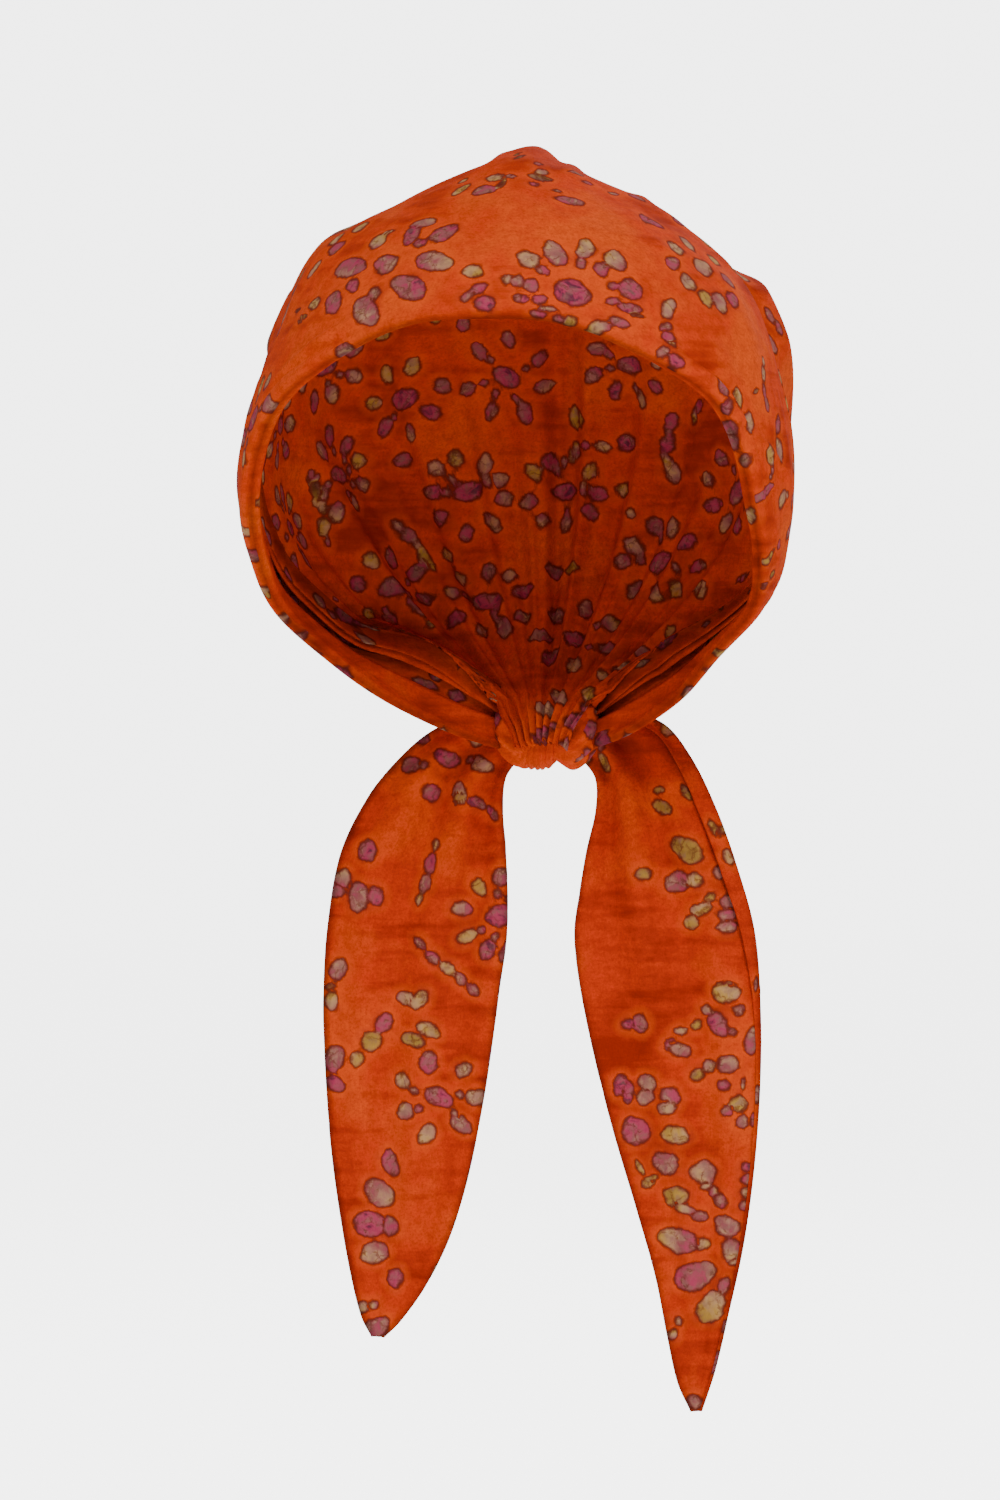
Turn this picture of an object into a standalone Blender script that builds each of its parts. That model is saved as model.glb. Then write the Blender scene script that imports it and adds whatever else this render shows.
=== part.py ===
"""Chemo head scarf: a tie-back head wrap in printed cotton, shown as it sits when worn.

A wide front panel goes over the brow and the top of the head. Its brow edge and its rear edge are
turned under. A rounded back cap is tucked under the rear edge, and its cloth gathers in folds
towards a knot at the nape, from which two pointed ties hang. All lengths in the tables are
millimetres; MM turns them into metres. The origin is at the top of the hollow, inside the
cloth, +Z up, and the face opening looks along -Y.
"""

import math
from collections import namedtuple

import bmesh
import bpy
from mathutils import Vector

MM = 0.001

# The rounded form that the cloth takes, an ellipsoid with unlike halves
FORM_CENTRE = Vector((0.0, 6.0, -88.0))
FORM_HALF_WIDTH = 88.5
FORM_FRONT = 94.0
FORM_BACK = 98.0
FORM_TOP = 94.0
FORM_BOTTOM = 100.0

# Cloth walls and the clearance between neighbouring pieces
WALL = 1.2
TIE_WALL = 1.6
CLEARANCE = 0.5

# The front panel: rows run from the middle of the brow to the knot, and share is how far along.
# edge_* is the turned brow edge, fold_* the turned rear edge, roll the brow edge's outer radius,
# and left_out how much further out the looser left side stands.
Section = namedtuple("Section", "share edge_x edge_y edge_z fold_x fold_y fold_z roll left_out")
SECTIONS = [
    Section(0.00, 0.0, -79.4, -48.6, 0.0, 8.0, 6.0, 1.6, 0.0),
    Section(0.12, 18.0, -77.7, -49.2, 24.0, 8.0, 2.5, 1.6, 0.0),
    Section(0.22, 32.0, -74.4, -52.4, 44.0, 8.0, -6.5, 1.8, 0.0),
    Section(0.32, 45.8, -68.6, -57.9, 60.0, 8.0, -19.0, 2.2, 0.0),
    Section(0.42, 57.5, -61.6, -63.5, 73.0, 8.0, -34.0, 2.6, 0.0),
    Section(0.50, 67.2, -53.2, -69.6, 79.2, 8.0, -47.0, 2.9, 0.6),
    Section(0.58, 74.0, -45.0, -77.5, 83.6, 8.0, -62.5, 3.0, 1.6),
    Section(0.66, 78.8, -37.0, -90.0, 87.4, 8.5, -79.5, 3.0, 2.8),
    Section(0.73, 81.0, -28.5, -105.5, 88.2, 13.0, -95.0, 2.8, 3.8),
    Section(0.80, 81.8, -12.0, -122.0, 86.2, 23.0, -111.0, 2.5, 3.2),
    Section(0.86, 77.2, 7.0, -139.0, 80.0, 38.0, -127.0, 2.1, 3.2),
    Section(0.91, 61.0, 27.5, -154.5, 63.0, 54.0, -141.5, 1.8, 5.6),
    Section(0.95, 48.0, 44.0, -167.5, 44.0, 69.0, -152.0, 1.6, 2.5),
    Section(0.98, 30.0, 59.5, -178.5, 26.0, 73.5, -163.5, 1.5, 0.0),
    Section(1.00, 15.9, 71.0, -183.5, 15.9, 76.5, -169.2, 1.5, 0.0),
]
FOLD_LET_OUT = 0.35
FACING_DEPTH = 12.0
FACING_SHARE = 0.36
REAR_TURN_DEPTH = 9.0
REAR_TURN_SHARE = 0.30
REAR_ROLL = 1.45

# How finely the panel is drawn, and the pleats where it is drawn together at its two ends
PANEL_SECTIONS = 52
BROW_BENDS = 5
BODY_STEPS = 8
REAR_BENDS = 3
RIB_STEPS = 24
END_PLEATS_FROM = 0.88
END_PLEATS = 1.5
END_PLEAT_HEIGHT = 0.7

# Small rises and hollows of the line over the crown, by the distance from its middle
Crown = namedtuple("Crown", "x rise")
CROWN_LINE = [
    Crown(-90.0, 0.0),
    Crown(-76.0, 0.6),
    Crown(-61.0, 2.6),
    Crown(-48.0, -1.0),
    Crown(-36.0, -2.6),
    Crown(-22.0, -1.8),
    Crown(-10.0, 0.8),
    Crown(0.0, 4.4),
    Crown(7.0, 5.2),
    Crown(14.0, 1.4),
    Crown(30.0, -1.2),
    Crown(52.0, -1.2),
    Crown(72.0, 0.0),
    Crown(90.0, 0.0),
]

# Soft creases of the front panel: where they lie (along, across), how far they reach, how high
Crease = namedtuple("Crease", "along across half_length half_width slant height")
CREASES = [
    Crease(-0.30, 0.62, 0.13, 0.07, 0.9, 1.2),
    Crease(-0.12, 0.80, 0.10, 0.06, -0.6, 1.0),
    Crease(0.10, 0.72, 0.12, 0.06, 0.7, 1.1),
    Crease(0.24, 0.86, 0.12, 0.07, 0.3, 0.9),
    Crease(0.46, 0.55, 0.10, 0.10, -1.2, 1.3),
    Crease(-0.48, 0.55, 0.16, 0.34, 0.0, -3.2),
    Crease(-0.56, 0.42, 0.10, 0.08, 1.1, 0.9),
    Crease(0.72, 0.62, 0.09, 0.12, 0.4, 1.0),
    Crease(-0.74, 0.58, 0.09, 0.12, -0.4, 1.0),
]

# The back cap, which starts tucked under the panel's rear fold
FoldSample = namedtuple("FoldSample", "along point outward lift slope roll")
CAP_TUCK = 8.0
CAP_REACH = 0.982
CAP_STEPS = 15
CAP_EASE = 1.12
LEAD_OUT = 0.4
LEAD_FROM = 0.9
FOLD_SAMPLES = 96
FOLD_CLEAR = 1.6
FACING_EASE = 4.0
EMERGE_SLOPE = 0.9
NAPE_SLACK = 1.3
NAPE_SLACK_OVER = (0.78, 0.90)

# How it swells behind the panel: the shares of a rib where the swelling starts and is full, over
# the crown, at the sides and low down, and how far along the band those regions begin and end
Onset = namedtuple("Onset", "start full")
CROWN_ONSET = Onset(0.06, 0.46)
SIDE_ONSET = Onset(0.0, 0.14)
LOW_ONSET = Onset(0.20, 0.54)
SIDE_OVER = (0.33, 0.45)
LOW_OVER = (0.53, 0.65)
CAP_SWELL = 5.0
SIDE_SWELL = 0.3
SWELL_FADE = (0.72, 0.98)

# Its folds, which run down to the knot and grow on the way
CAP_FOLDS = 10
CAP_FOLD_HEIGHT = 2.6
CAP_FOLD_DRIFT = 1.6
CAP_FOLD_DRIFTS = 3.1
FOLDS_GROW = (0.22, 0.80)
FOLDS_FADE = (0.84, 0.97)
FOLDS_CALM_OVER = (0.55, 0.85)
FOLDS_CALM = 0.85

# Where its cloth is gathered over the knot
GATHER_HALF_WIDTH = 15.5
GATHER_Y = 67.2
GATHER_Z = -165.5
GATHER_IN = 2.6
GATHER_SAG = 2.2

# The gathered end of the cap below the knot's top: how far down, how far in, how spread
Frill = namedtuple("Frill", "drop inward spread")
FRILL = [Frill(6.0, 2.4, 0.95), Frill(19.0, 3.6, 0.92)]

# The knot at the nape
KNOT_CENTRE = Vector((0.0, 76.2, -178.0))
KNOT_HALF = Vector((14.8, 10.0, 11.5))
KNOT_SQUARENESS = 2.7
KNOT_GROOVE = 1.1
KNOT_WRAPS = 1.5
KNOT_SLANT = 0.55

# The ties: rows run from the knot to the tip. outer_* and inner_* are the two long edges, y is
# how far back the cloth hangs, and pleat is the height of its soft lengthwise folds.
TieRow = namedtuple("TieRow", "outer_x outer_z inner_x inner_z y pleat")
PlacedRow = namedtuple("PlacedRow", ("place",) + TieRow._fields)
RIGHT_TIE = [
    TieRow(12.2, -171.5, 10.8, -186.0, 80.8, 0.6),
    TieRow(24.0, -170.5, 15.5, -193.0, 82.0, 2.0),
    TieRow(38.5, -174.5, 16.0, -204.0, 79.0, 3.0),
    TieRow(48.5, -186.0, 13.5, -217.0, 75.0, 3.4),
    TieRow(57.0, -202.5, 11.5, -231.0, 72.0, 3.4),
    TieRow(64.0, -221.0, 10.0, -245.0, 70.0, 3.0),
    TieRow(70.2, -243.5, 12.0, -263.0, 70.0, 2.6),
    TieRow(72.2, -270.0, 17.0, -287.0, 70.0, 2.2),
    TieRow(72.0, -296.0, 23.2, -311.0, 70.0, 1.9),
    TieRow(70.0, -323.0, 30.7, -336.0, 70.0, 1.5),
    TieRow(66.5, -348.0, 37.2, -359.0, 70.0, 1.1),
    TieRow(61.5, -371.0, 41.2, -379.0, 70.0, 0.7),
    TieRow(57.0, -390.0, 44.6, -394.0, 70.0, 0.3),
    TieRow(52.6, -403.4, 49.0, -403.6, 70.0, 0.0),
]
LEFT_TIE = [
    TieRow(-12.2, -171.5, -10.8, -186.0, 80.8, 0.6),
    TieRow(-24.0, -171.5, -15.5, -193.0, 82.0, 2.0),
    TieRow(-39.0, -177.0, -16.0, -204.0, 79.0, 3.0),
    TieRow(-50.5, -187.0, -14.5, -217.0, 75.0, 3.4),
    TieRow(-60.5, -200.0, -13.5, -231.0, 72.0, 3.4),
    TieRow(-69.0, -218.0, -13.5, -246.0, 70.0, 3.0),
    TieRow(-73.6, -243.0, -16.0, -264.0, 70.0, 2.6),
    TieRow(-75.0, -268.0, -19.0, -286.0, 70.0, 2.2),
    TieRow(-74.2, -292.0, -22.5, -307.0, 70.0, 1.9),
    TieRow(-72.2, -318.0, -27.0, -328.0, 70.0, 1.5),
    TieRow(-69.0, -341.0, -33.0, -347.0, 70.0, 1.1),
    TieRow(-65.5, -360.0, -41.0, -363.0, 70.0, 0.7),
    TieRow(-62.0, -373.5, -49.5, -374.8, 70.0, 0.3),
    TieRow(-58.6, -380.0, -55.0, -380.2, 70.0, 0.0),
]
TIE_STEPS = 28
TIE_COLUMNS = 8
TIE_PLEATS = 2.5
TIE_ROOT_GAP = 0.9

# Finish: an orange ground, as the cloth's own colour, a little deeper on the inner side of the cap
PRINT_ORANGE = (0.50, 0.082, 0.018, 1.0)
SHADED_ORANGE = (0.42, 0.066, 0.016, 1.0)
CLOTH_ROUGHNESS = 0.85


def spline(rows, position, at):
    """Every column of the rows at one position, on a smooth curve through the rows."""
    last = len(rows) - 1
    places = [row[position] for row in rows]
    at = min(max(at, places[0]), places[-1])
    index = max(i for i in range(last) if places[i] <= at)
    span = places[index + 1] - places[index]
    share = (at - places[index]) / span

    def tangent(i, column):
        low, high = max(i - 1, 0), min(i + 1, last)
        return (rows[high][column] - rows[low][column]) / (places[high] - places[low])

    values = []
    for column in range(len(rows[0])):
        a, b = rows[index][column], rows[index + 1][column]
        ta, tb = tangent(index, column) * span, tangent(index + 1, column) * span
        square, cube = share**2, share**3
        values.append(
            a * (2 * cube - 3 * square + 1)
            + ta * (cube - 2 * square + share)
            + b * (3 * square - 2 * cube)
            + tb * (cube - square)
        )
    return type(rows[0])(*values)


def both_sides(rows):
    """The section rows of the left side, mirrored and let out, before those of the right."""
    left = [
        row._replace(
            share=-row.share,
            edge_x=-row.edge_x - row.left_out,
            fold_x=-row.fold_x - row.left_out * FOLD_LET_OUT,
        )
        for row in reversed(rows[1:])
    ]
    return left + list(rows)


def smoothstep(low, high, value):
    share = min(max((value - low) / (high - low), 0.0), 1.0)
    return share * share * (3.0 - 2.0 * share)


def form_radii(side):
    return Vector(
        (
            FORM_HALF_WIDTH,
            FORM_FRONT if side.y < 0.0 else FORM_BACK,
            FORM_TOP if side.z > 0.0 else FORM_BOTTOM,
        )
    )


def on_form(direction, lift):
    """The point of the form in a direction of its own round space, raised along the normal."""
    radii = form_radii(direction)
    surface = Vector(d * r for d, r in zip(direction, radii))
    normal = Vector(d / r for d, r in zip(direction, radii)).normalized()
    return FORM_CENTRE + surface + normal * lift


def direction_and_lift(point):
    """The inverse of on_form."""
    lift = 0.0
    direction = Vector((0.0, 0.0, 1.0))
    for _ in range(8):
        radii = form_radii(direction)
        normal = Vector(d / r for d, r in zip(direction, radii)).normalized()
        offset = point - normal * lift - FORM_CENTRE
        radii = form_radii(offset)
        direction = Vector(o / r for o, r in zip(offset, radii)).normalized()
        lift += normal.dot(point - on_form(direction, lift))
    return direction, lift


class Rib:
    """A line over the form between two points, at a given share of its length."""

    def __init__(self, start, end, before=None):
        self.start, self.start_lift = direction_and_lift(start)
        self.end, self.end_lift = direction_and_lift(end)
        self.bend = None
        if before is not None:
            heading = (self.start - direction_and_lift(before)[0]).normalized()
            self.bend = self.start + heading * LEAD_OUT * self.start.angle(self.end)
        points = [self.at(i / RIB_STEPS, 0.0) for i in range(RIB_STEPS + 1)]
        self.length = sum((b - a).length for a, b in zip(points, points[1:]))

    def lift(self, share):
        return self.start_lift + (self.end_lift - self.start_lift) * share

    def direction(self, share):
        """Straight over the form, or led out by the bend before it turns to its end."""
        if self.bend is None:
            return self.start.slerp(self.end, share)
        rest = 1.0 - share
        mixed = self.start * rest**2 + self.bend * 2.0 * rest * share + self.end * share**2
        return mixed.normalized()

    def at(self, share, lift):
        return on_form(self.direction(share), self.lift(share) + lift)


ALL_SECTIONS = both_sides(SECTIONS)


def panel_rib(along):
    row = spline(ALL_SECTIONS, 0, along)
    edge = Vector((row.edge_x, row.edge_y, row.edge_z))
    fold = Vector((row.fold_x, row.fold_y, row.fold_z))
    return Rib(edge, fold), row


def crown_rise(x):
    return spline(CROWN_LINE, 0, x).rise


def crease_height(along, across):
    height = 0.0
    for crease in CREASES:
        run = (along - crease.along) / crease.half_length
        shift = crease.slant * (along - crease.along)
        off = (across - crease.across - shift) / crease.half_width
        height += crease.height * math.exp(-run * run - off * off)
    return height


def panel_relief(along, across, fold_x):
    """How far the panel's outer face stands off its own rib."""
    rise = crown_rise(fold_x) * smoothstep(0.0, 1.0, across) ** 1.5
    gather = smoothstep(END_PLEATS_FROM, 1.0, abs(along))
    pleats = END_PLEAT_HEIGHT * gather * math.sin(math.tau * END_PLEATS * across)
    edges = smoothstep(0.0, 0.15, across) * smoothstep(0.0, 0.12, 1.0 - across)
    return rise + (crease_height(along, across) + pleats) * edges


def panel_profile(width, roll):
    """The panel's section: (distance from the brow edge, depth), from the facing to the turn."""
    facing = min(FACING_DEPTH, FACING_SHARE * width)
    turn = min(REAR_TURN_DEPTH, REAR_TURN_SHARE * width)
    profile = [(roll + facing, 2.0 * roll), (roll + facing * 0.5, 2.0 * roll)]
    for i in range(BROW_BENDS + 1):
        angle = math.pi * i / BROW_BENDS
        profile.append((roll - roll * math.sin(angle), roll + roll * math.cos(angle)))
    first, last = roll, width - REAR_ROLL
    for i in range(1, BODY_STEPS):
        profile.append((first + (last - first) * i / BODY_STEPS, 0.0))
    for i in range(REAR_BENDS + 1):
        angle = math.pi * i / REAR_BENDS
        profile.append(
            (last + REAR_ROLL * math.sin(angle), REAR_ROLL - REAR_ROLL * math.cos(angle))
        )
    profile.append((last - turn * 0.5, 2.0 * REAR_ROLL))
    profile.append((last - turn, 2.0 * REAR_ROLL))
    return profile


PANEL_PLACES = [2.0 * i / PANEL_SECTIONS - 1.0 for i in range(PANEL_SECTIONS + 1)]


def panel_grid():
    grid = []
    for along in PANEL_PLACES:
        rib, row = panel_rib(along)
        line = []
        for distance, depth in panel_profile(rib.length, row.roll):
            across = distance / rib.length
            relief = panel_relief(along, across, row.fold_x)
            line.append(rib.at(across, relief - depth))
        grid.append(line)
    return grid


def gather_point(along):
    side = math.sin(0.5 * math.pi * along / CAP_REACH)
    curve = side * side
    return Vector(
        (GATHER_HALF_WIDTH * side, GATHER_Y - GATHER_IN * curve, GATHER_Z - GATHER_SAG * curve)
    )


def layer_gap(along):
    """The clearance under the band, wider near the nape, where the cloth is drawn together."""
    return CLEARANCE + NAPE_SLACK * smoothstep(*NAPE_SLACK_OVER, abs(along))


def fold_line():
    """Samples along the panel's rear fold, with the way across it and the panel's own lift."""
    samples = []
    for i in range(FOLD_SAMPLES + 1):
        along = 2.0 * i / FOLD_SAMPLES - 1.0
        rib, row = panel_rib(along)
        fold, before = rib.at(1.0, 0.0), rib.at(0.96, 0.0)
        lift = rib.end_lift + crown_rise(row.fold_x)
        slope = (lift - rib.start_lift) / rib.length
        outward = (fold - before).normalized()
        samples.append(FoldSample(along, fold, outward, lift, slope, row.roll))
    return samples


def under_panel(point, samples):
    """The highest lift that keeps the cap under the panel, and lets it rise once it is out."""
    near = min(samples, key=lambda sample: (sample.point - point).length_squared)
    beyond = (point - near.point).dot(near.outward)
    facing = smoothstep(REAR_TURN_DEPTH, REAR_TURN_DEPTH + FACING_EASE, -beyond)
    layers = 2.0 * (REAR_ROLL + (near.roll - REAR_ROLL) * facing)
    panel = near.lift + near.slope * min(beyond, 0.0)
    rise = EMERGE_SLOPE * max(beyond - FOLD_CLEAR, 0.0)
    return panel - layers - layer_gap(near.along) + rise


def cap_relief(along, share):
    """How far the cap stands off its rib: it swells behind the panel and folds at the nape."""
    side = smoothstep(*SIDE_OVER, abs(along))
    low = smoothstep(*LOW_OVER, abs(along))
    upper = Vector(CROWN_ONSET).lerp(Vector(SIDE_ONSET), side)
    start, full = upper.lerp(Vector(LOW_ONSET), low)
    swell = CAP_SWELL * (1.0 + SIDE_SWELL * side) * smoothstep(start, full, share)
    swell *= 1.0 - smoothstep(*SWELL_FADE, share)
    drift = CAP_FOLD_DRIFT * math.sin(CAP_FOLD_DRIFTS * along)
    ripple = math.cos(math.pi * CAP_FOLDS * along / CAP_REACH + drift)
    growth = smoothstep(*FOLDS_GROW, share) * (1.0 - smoothstep(*FOLDS_FADE, share))
    calm = 1.0 - FOLDS_CALM * smoothstep(*FOLDS_CALM_OVER, abs(along))
    return swell + CAP_FOLD_HEIGHT * growth * ripple * calm


def cap_grid():
    grid = []
    samples = fold_line()
    for along in [-CAP_REACH] + PANEL_PLACES[1:-1] + [CAP_REACH]:
        panel, row = panel_rib(along)
        rise = crown_rise(row.fold_x)
        under = 2.0 * REAR_ROLL + layer_gap(along)
        start = panel.at(1.0, rise)
        rib = Rib(start, gather_point(along), panel.at(LEAD_FROM, rise))
        line = []
        for tucked in (CAP_TUCK, CAP_TUCK * 0.5):
            across = 1.0 - tucked / panel.length
            relief = panel_relief(along, across, row.fold_x)
            line.append(panel.at(across, relief - under))
        for step in range(CAP_STEPS + 1):
            share = (step / CAP_STEPS) ** CAP_EASE
            relief = cap_relief(along, share)
            excess = rib.lift(share) + relief - under_panel(rib.at(share, 0.0), samples)
            line.append(rib.at(share, relief - max(excess, 0.0)))
        end = line[-1]
        for frill in FRILL:
            line.append(Vector((end.x * frill.spread, end.y - frill.inward, end.z - frill.drop)))
        grid.append(line)
    return grid


def knot_side(y, z):
    """How far the knot reaches sideways at one height and depth."""
    spent = abs((y - KNOT_CENTRE.y) / KNOT_HALF.y) ** KNOT_SQUARENESS
    spent += abs((z - KNOT_CENTRE.z) / KNOT_HALF.z) ** KNOT_SQUARENESS
    return KNOT_HALF.x * max(1.0 - spent, 0.0) ** (1.0 / KNOT_SQUARENESS)


def tie_grid(rows):
    """The mid-surface of a tie, with soft folds that run along it and die out at the edges."""
    places = [0.0]
    for a, b in zip(rows, rows[1:]):
        run = math.hypot(b.outer_x - a.outer_x, b.outer_z - a.outer_z)
        run += math.hypot(b.inner_x - a.inner_x, b.inner_z - a.inner_z)
        places.append(places[-1] + 0.5 * run)
    placed = [PlacedRow(place, *row) for place, row in zip(places, rows)]
    grid = []
    for i in range(TIE_STEPS + 1):
        row = spline(placed, 0, places[-1] * i / TIE_STEPS)
        line = []
        for j in range(TIE_COLUMNS + 1):
            share = j / TIE_COLUMNS
            wave = math.cos(math.tau * TIE_PLEATS * share) * math.sin(math.pi * share) ** 0.5
            x = row.outer_x + (row.inner_x - row.outer_x) * share
            y = row.y + row.pleat * wave
            z = row.outer_z + (row.inner_z - row.outer_z) * share
            clear = knot_side(y, z) + TIE_ROOT_GAP
            line.append(Vector((math.copysign(max(abs(x), clear), x), y, z)))
        grid.append(line)
    return grid


def cloth_material(name, colour):
    material = bpy.data.materials.new(name)
    material.use_nodes = True
    shader = material.node_tree.nodes["Principled BSDF"]
    shader.inputs["Base Color"].default_value = colour
    shader.inputs["Roughness"].default_value = CLOTH_ROUGHNESS
    shader.inputs["Metallic"].default_value = 0.0
    shader.inputs["Sheen Weight"].default_value = 0.15
    material.diffuse_color = colour
    return material


def sheet(name, grid, wall, offset, material, collection, outward):
    """A cloth piece: an open surface through the grid's points, thickened with Solidify."""
    mesh = bpy.data.meshes.new(name)
    shape = bmesh.new()
    rows = [[shape.verts.new(point * MM) for point in line] for line in grid]
    for first, second in zip(rows, rows[1:]):
        for j in range(len(first) - 1):
            corners = (first[j], first[j + 1], second[j + 1], second[j])
            shape.faces.new(corners if outward else corners[::-1])
    shape.to_mesh(mesh)
    shape.free()
    mesh.shade_smooth()
    mesh.materials.append(material)
    piece = bpy.data.objects.new(name, mesh)
    collection.objects.link(piece)
    thickness = piece.modifiers.new("Cloth thickness", "SOLIDIFY")
    thickness.thickness = wall * MM
    thickness.offset = offset
    thickness.use_even_offset = False
    return piece


def knot(collection, material):
    """A rounded lump with slanting grooves, where the band ends wrap round each other."""
    mesh = bpy.data.meshes.new("knot")
    shape = bmesh.new()
    bmesh.ops.create_uvsphere(shape, u_segments=28, v_segments=16, radius=1.0)
    power = 2.0 / KNOT_SQUARENESS
    for vertex in shape.verts:
        unit = vertex.co.normalized()
        squared = Vector(math.copysign(abs(c) ** power, c) for c in unit)
        wrap = math.cos(math.tau * KNOT_WRAPS * (unit.z + KNOT_SLANT * unit.x))
        inset = KNOT_GROOVE * 0.5 * (1.0 - wrap) * max(unit.y, 0.0)
        point = Vector(s * (h - inset) for s, h in zip(squared, KNOT_HALF))
        vertex.co = (KNOT_CENTRE + point) * MM
    shape.to_mesh(mesh)
    shape.free()
    mesh.shade_smooth()
    mesh.materials.append(material)
    piece = bpy.data.objects.new("knot", mesh)
    collection.objects.link(piece)
    return piece


def main():
    for old in list(bpy.data.objects):
        bpy.data.objects.remove(old, do_unlink=True)
    collection = bpy.data.collections.new("Chemo head scarf")
    bpy.context.scene.collection.children.link(collection)
    front = cloth_material("Printed cotton", PRINT_ORANGE)
    shaded = cloth_material("Printed cotton, shaded", SHADED_ORANGE)
    seat = bpy.data.objects.new("head_seat", None)
    seat.empty_display_size = 0.02
    collection.objects.link(seat)
    pieces = [
        sheet("front_panel", panel_grid(), WALL, -1.0, front, collection, False),
        sheet("crown_back", cap_grid(), WALL, -1.0, shaded, collection, False),
        knot(collection, front),
        sheet("tail_right", tie_grid(RIGHT_TIE), TIE_WALL, 0.0, front, collection, True),
        sheet("tail_left", tie_grid(LEFT_TIE), TIE_WALL, 0.0, front, collection, False),
    ]
    for piece in pieces:
        piece.parent = seat


main()
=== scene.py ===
import math
import random
import bmesh
import bpy
import numpy as np
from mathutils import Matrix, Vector
from mathutils.bvhtree import BVHTree
from mathutils.kdtree import KDTree


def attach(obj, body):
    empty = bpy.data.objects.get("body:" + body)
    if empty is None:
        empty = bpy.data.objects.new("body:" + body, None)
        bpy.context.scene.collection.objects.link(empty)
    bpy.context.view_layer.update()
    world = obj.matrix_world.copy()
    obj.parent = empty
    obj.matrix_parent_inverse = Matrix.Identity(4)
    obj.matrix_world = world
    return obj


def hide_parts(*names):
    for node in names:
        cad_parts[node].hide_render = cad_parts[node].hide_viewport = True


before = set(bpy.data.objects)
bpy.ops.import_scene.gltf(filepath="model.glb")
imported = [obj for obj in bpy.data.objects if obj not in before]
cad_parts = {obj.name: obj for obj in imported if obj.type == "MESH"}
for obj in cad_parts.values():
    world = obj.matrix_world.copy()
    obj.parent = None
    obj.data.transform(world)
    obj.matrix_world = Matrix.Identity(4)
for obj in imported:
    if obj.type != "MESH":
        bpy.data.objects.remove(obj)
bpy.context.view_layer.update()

mm = 0.001

# The camera stands 2 m off, level, a little to the right. focal is its lens in pixels of the picture,
# whose middle is given too
view = {"place": (272.92, -1981.3, -183.55), "aim": (-5.43, -0.76, -183.55), "lens": 148.8,
        "focal": 6200.0, "middle": (500.0, 750.0)}

# The rounded form that the cloth takes, in millimetres like every size below
form = {"centre": (0.0, 6.0, -88.0), "halfWidth": 88.5, "front": 94.0, "back": 98.0,
        "top": 94.0, "bottom": 100.0}
formCentre = np.array(form["centre"])


def unit(vectors):
    return vectors / np.maximum(np.linalg.norm(vectors, axis=-1, keepdims=True), 1e-9)


def ease(low, high, value):
    share = np.clip((value - low) / (high - low), 0.0, 1.0)
    return share * share * (3.0 - 2.0 * share)


def throughRows(rows, at):
    # every column of the rows at the given places, on smooth curves; the first column is the place
    rows = np.array(rows, float)
    places = rows[:, 0]
    at = np.clip(at, places[0], places[-1])
    last = len(rows) - 1
    i = np.clip(np.searchsorted(places, at, side="right") - 1, 0, last - 1)
    low, high = np.maximum(np.arange(last + 1) - 1, 0), np.minimum(np.arange(last + 1) + 1, last)
    slope = (rows[high] - rows[low]) / (places[high] - places[low])[:, None]
    span = (places[i + 1] - places[i])[..., None]
    t = (at[..., None] - places[i][..., None]) / span
    return (rows[i] * (2 * t**3 - 3 * t**2 + 1) + slope[i] * span * (t**3 - 2 * t**2 + t)
            + rows[i + 1] * (3 * t**2 - 2 * t**3) + slope[i + 1] * span * (t**3 - t**2))


def formRadii(side):
    return np.stack([np.full(side.shape[:-1], form["halfWidth"]),
                     np.where(side[..., 1] < 0.0, form["front"], form["back"]),
                     np.where(side[..., 2] > 0.0, form["top"], form["bottom"])], axis=-1)


def onForm(direction, lift):
    radii = formRadii(direction)
    return formCentre + direction * radii + unit(direction / radii) * lift[..., None]


def directionAndLift(point):
    direction = np.broadcast_to(np.array([0.0, 0.0, 1.0]), point.shape)
    lift = np.zeros(point.shape[:-1])
    for _ in range(8):
        normal = unit(direction / formRadii(direction))
        offset = point - normal * lift[..., None] - formCentre
        direction = unit(offset / formRadii(offset))
        lift = lift + ((point - onForm(direction, lift)) * normal).sum(axis=-1)
    return direction, lift


creaseBow = 0.006  # the most that a loose crease bends sideways, per millimetre squared


def looseCreases(u, v, made):
    # short soft ridges and furrows scattered over the cloth; u and v are distances along and across it
    rng = random.Random(made["seed"])
    height = np.zeros(np.broadcast(u, v).shape)
    for _ in range(made["count"]):
        at, off = rng.uniform(*made["u"]), rng.uniform(*made["v"])
        turn = math.radians(made["heading"] + rng.uniform(-made["spread"], made["spread"]))
        long, wide = rng.uniform(*made["long"]), rng.uniform(*made["wide"])
        du, dv = u - at, v - off
        run, side = du * math.cos(turn) + dv * math.sin(turn), dv * math.cos(turn) - du * math.sin(turn)
        side = side - rng.uniform(-creaseBow, creaseBow) * run**2
        size = rng.choice((-1.0, 1.0, 1.0)) * rng.uniform(*made["height"])
        height += size * np.exp(-((run / long) ** 2) - (side / wide) ** 2)
    return height


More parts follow.
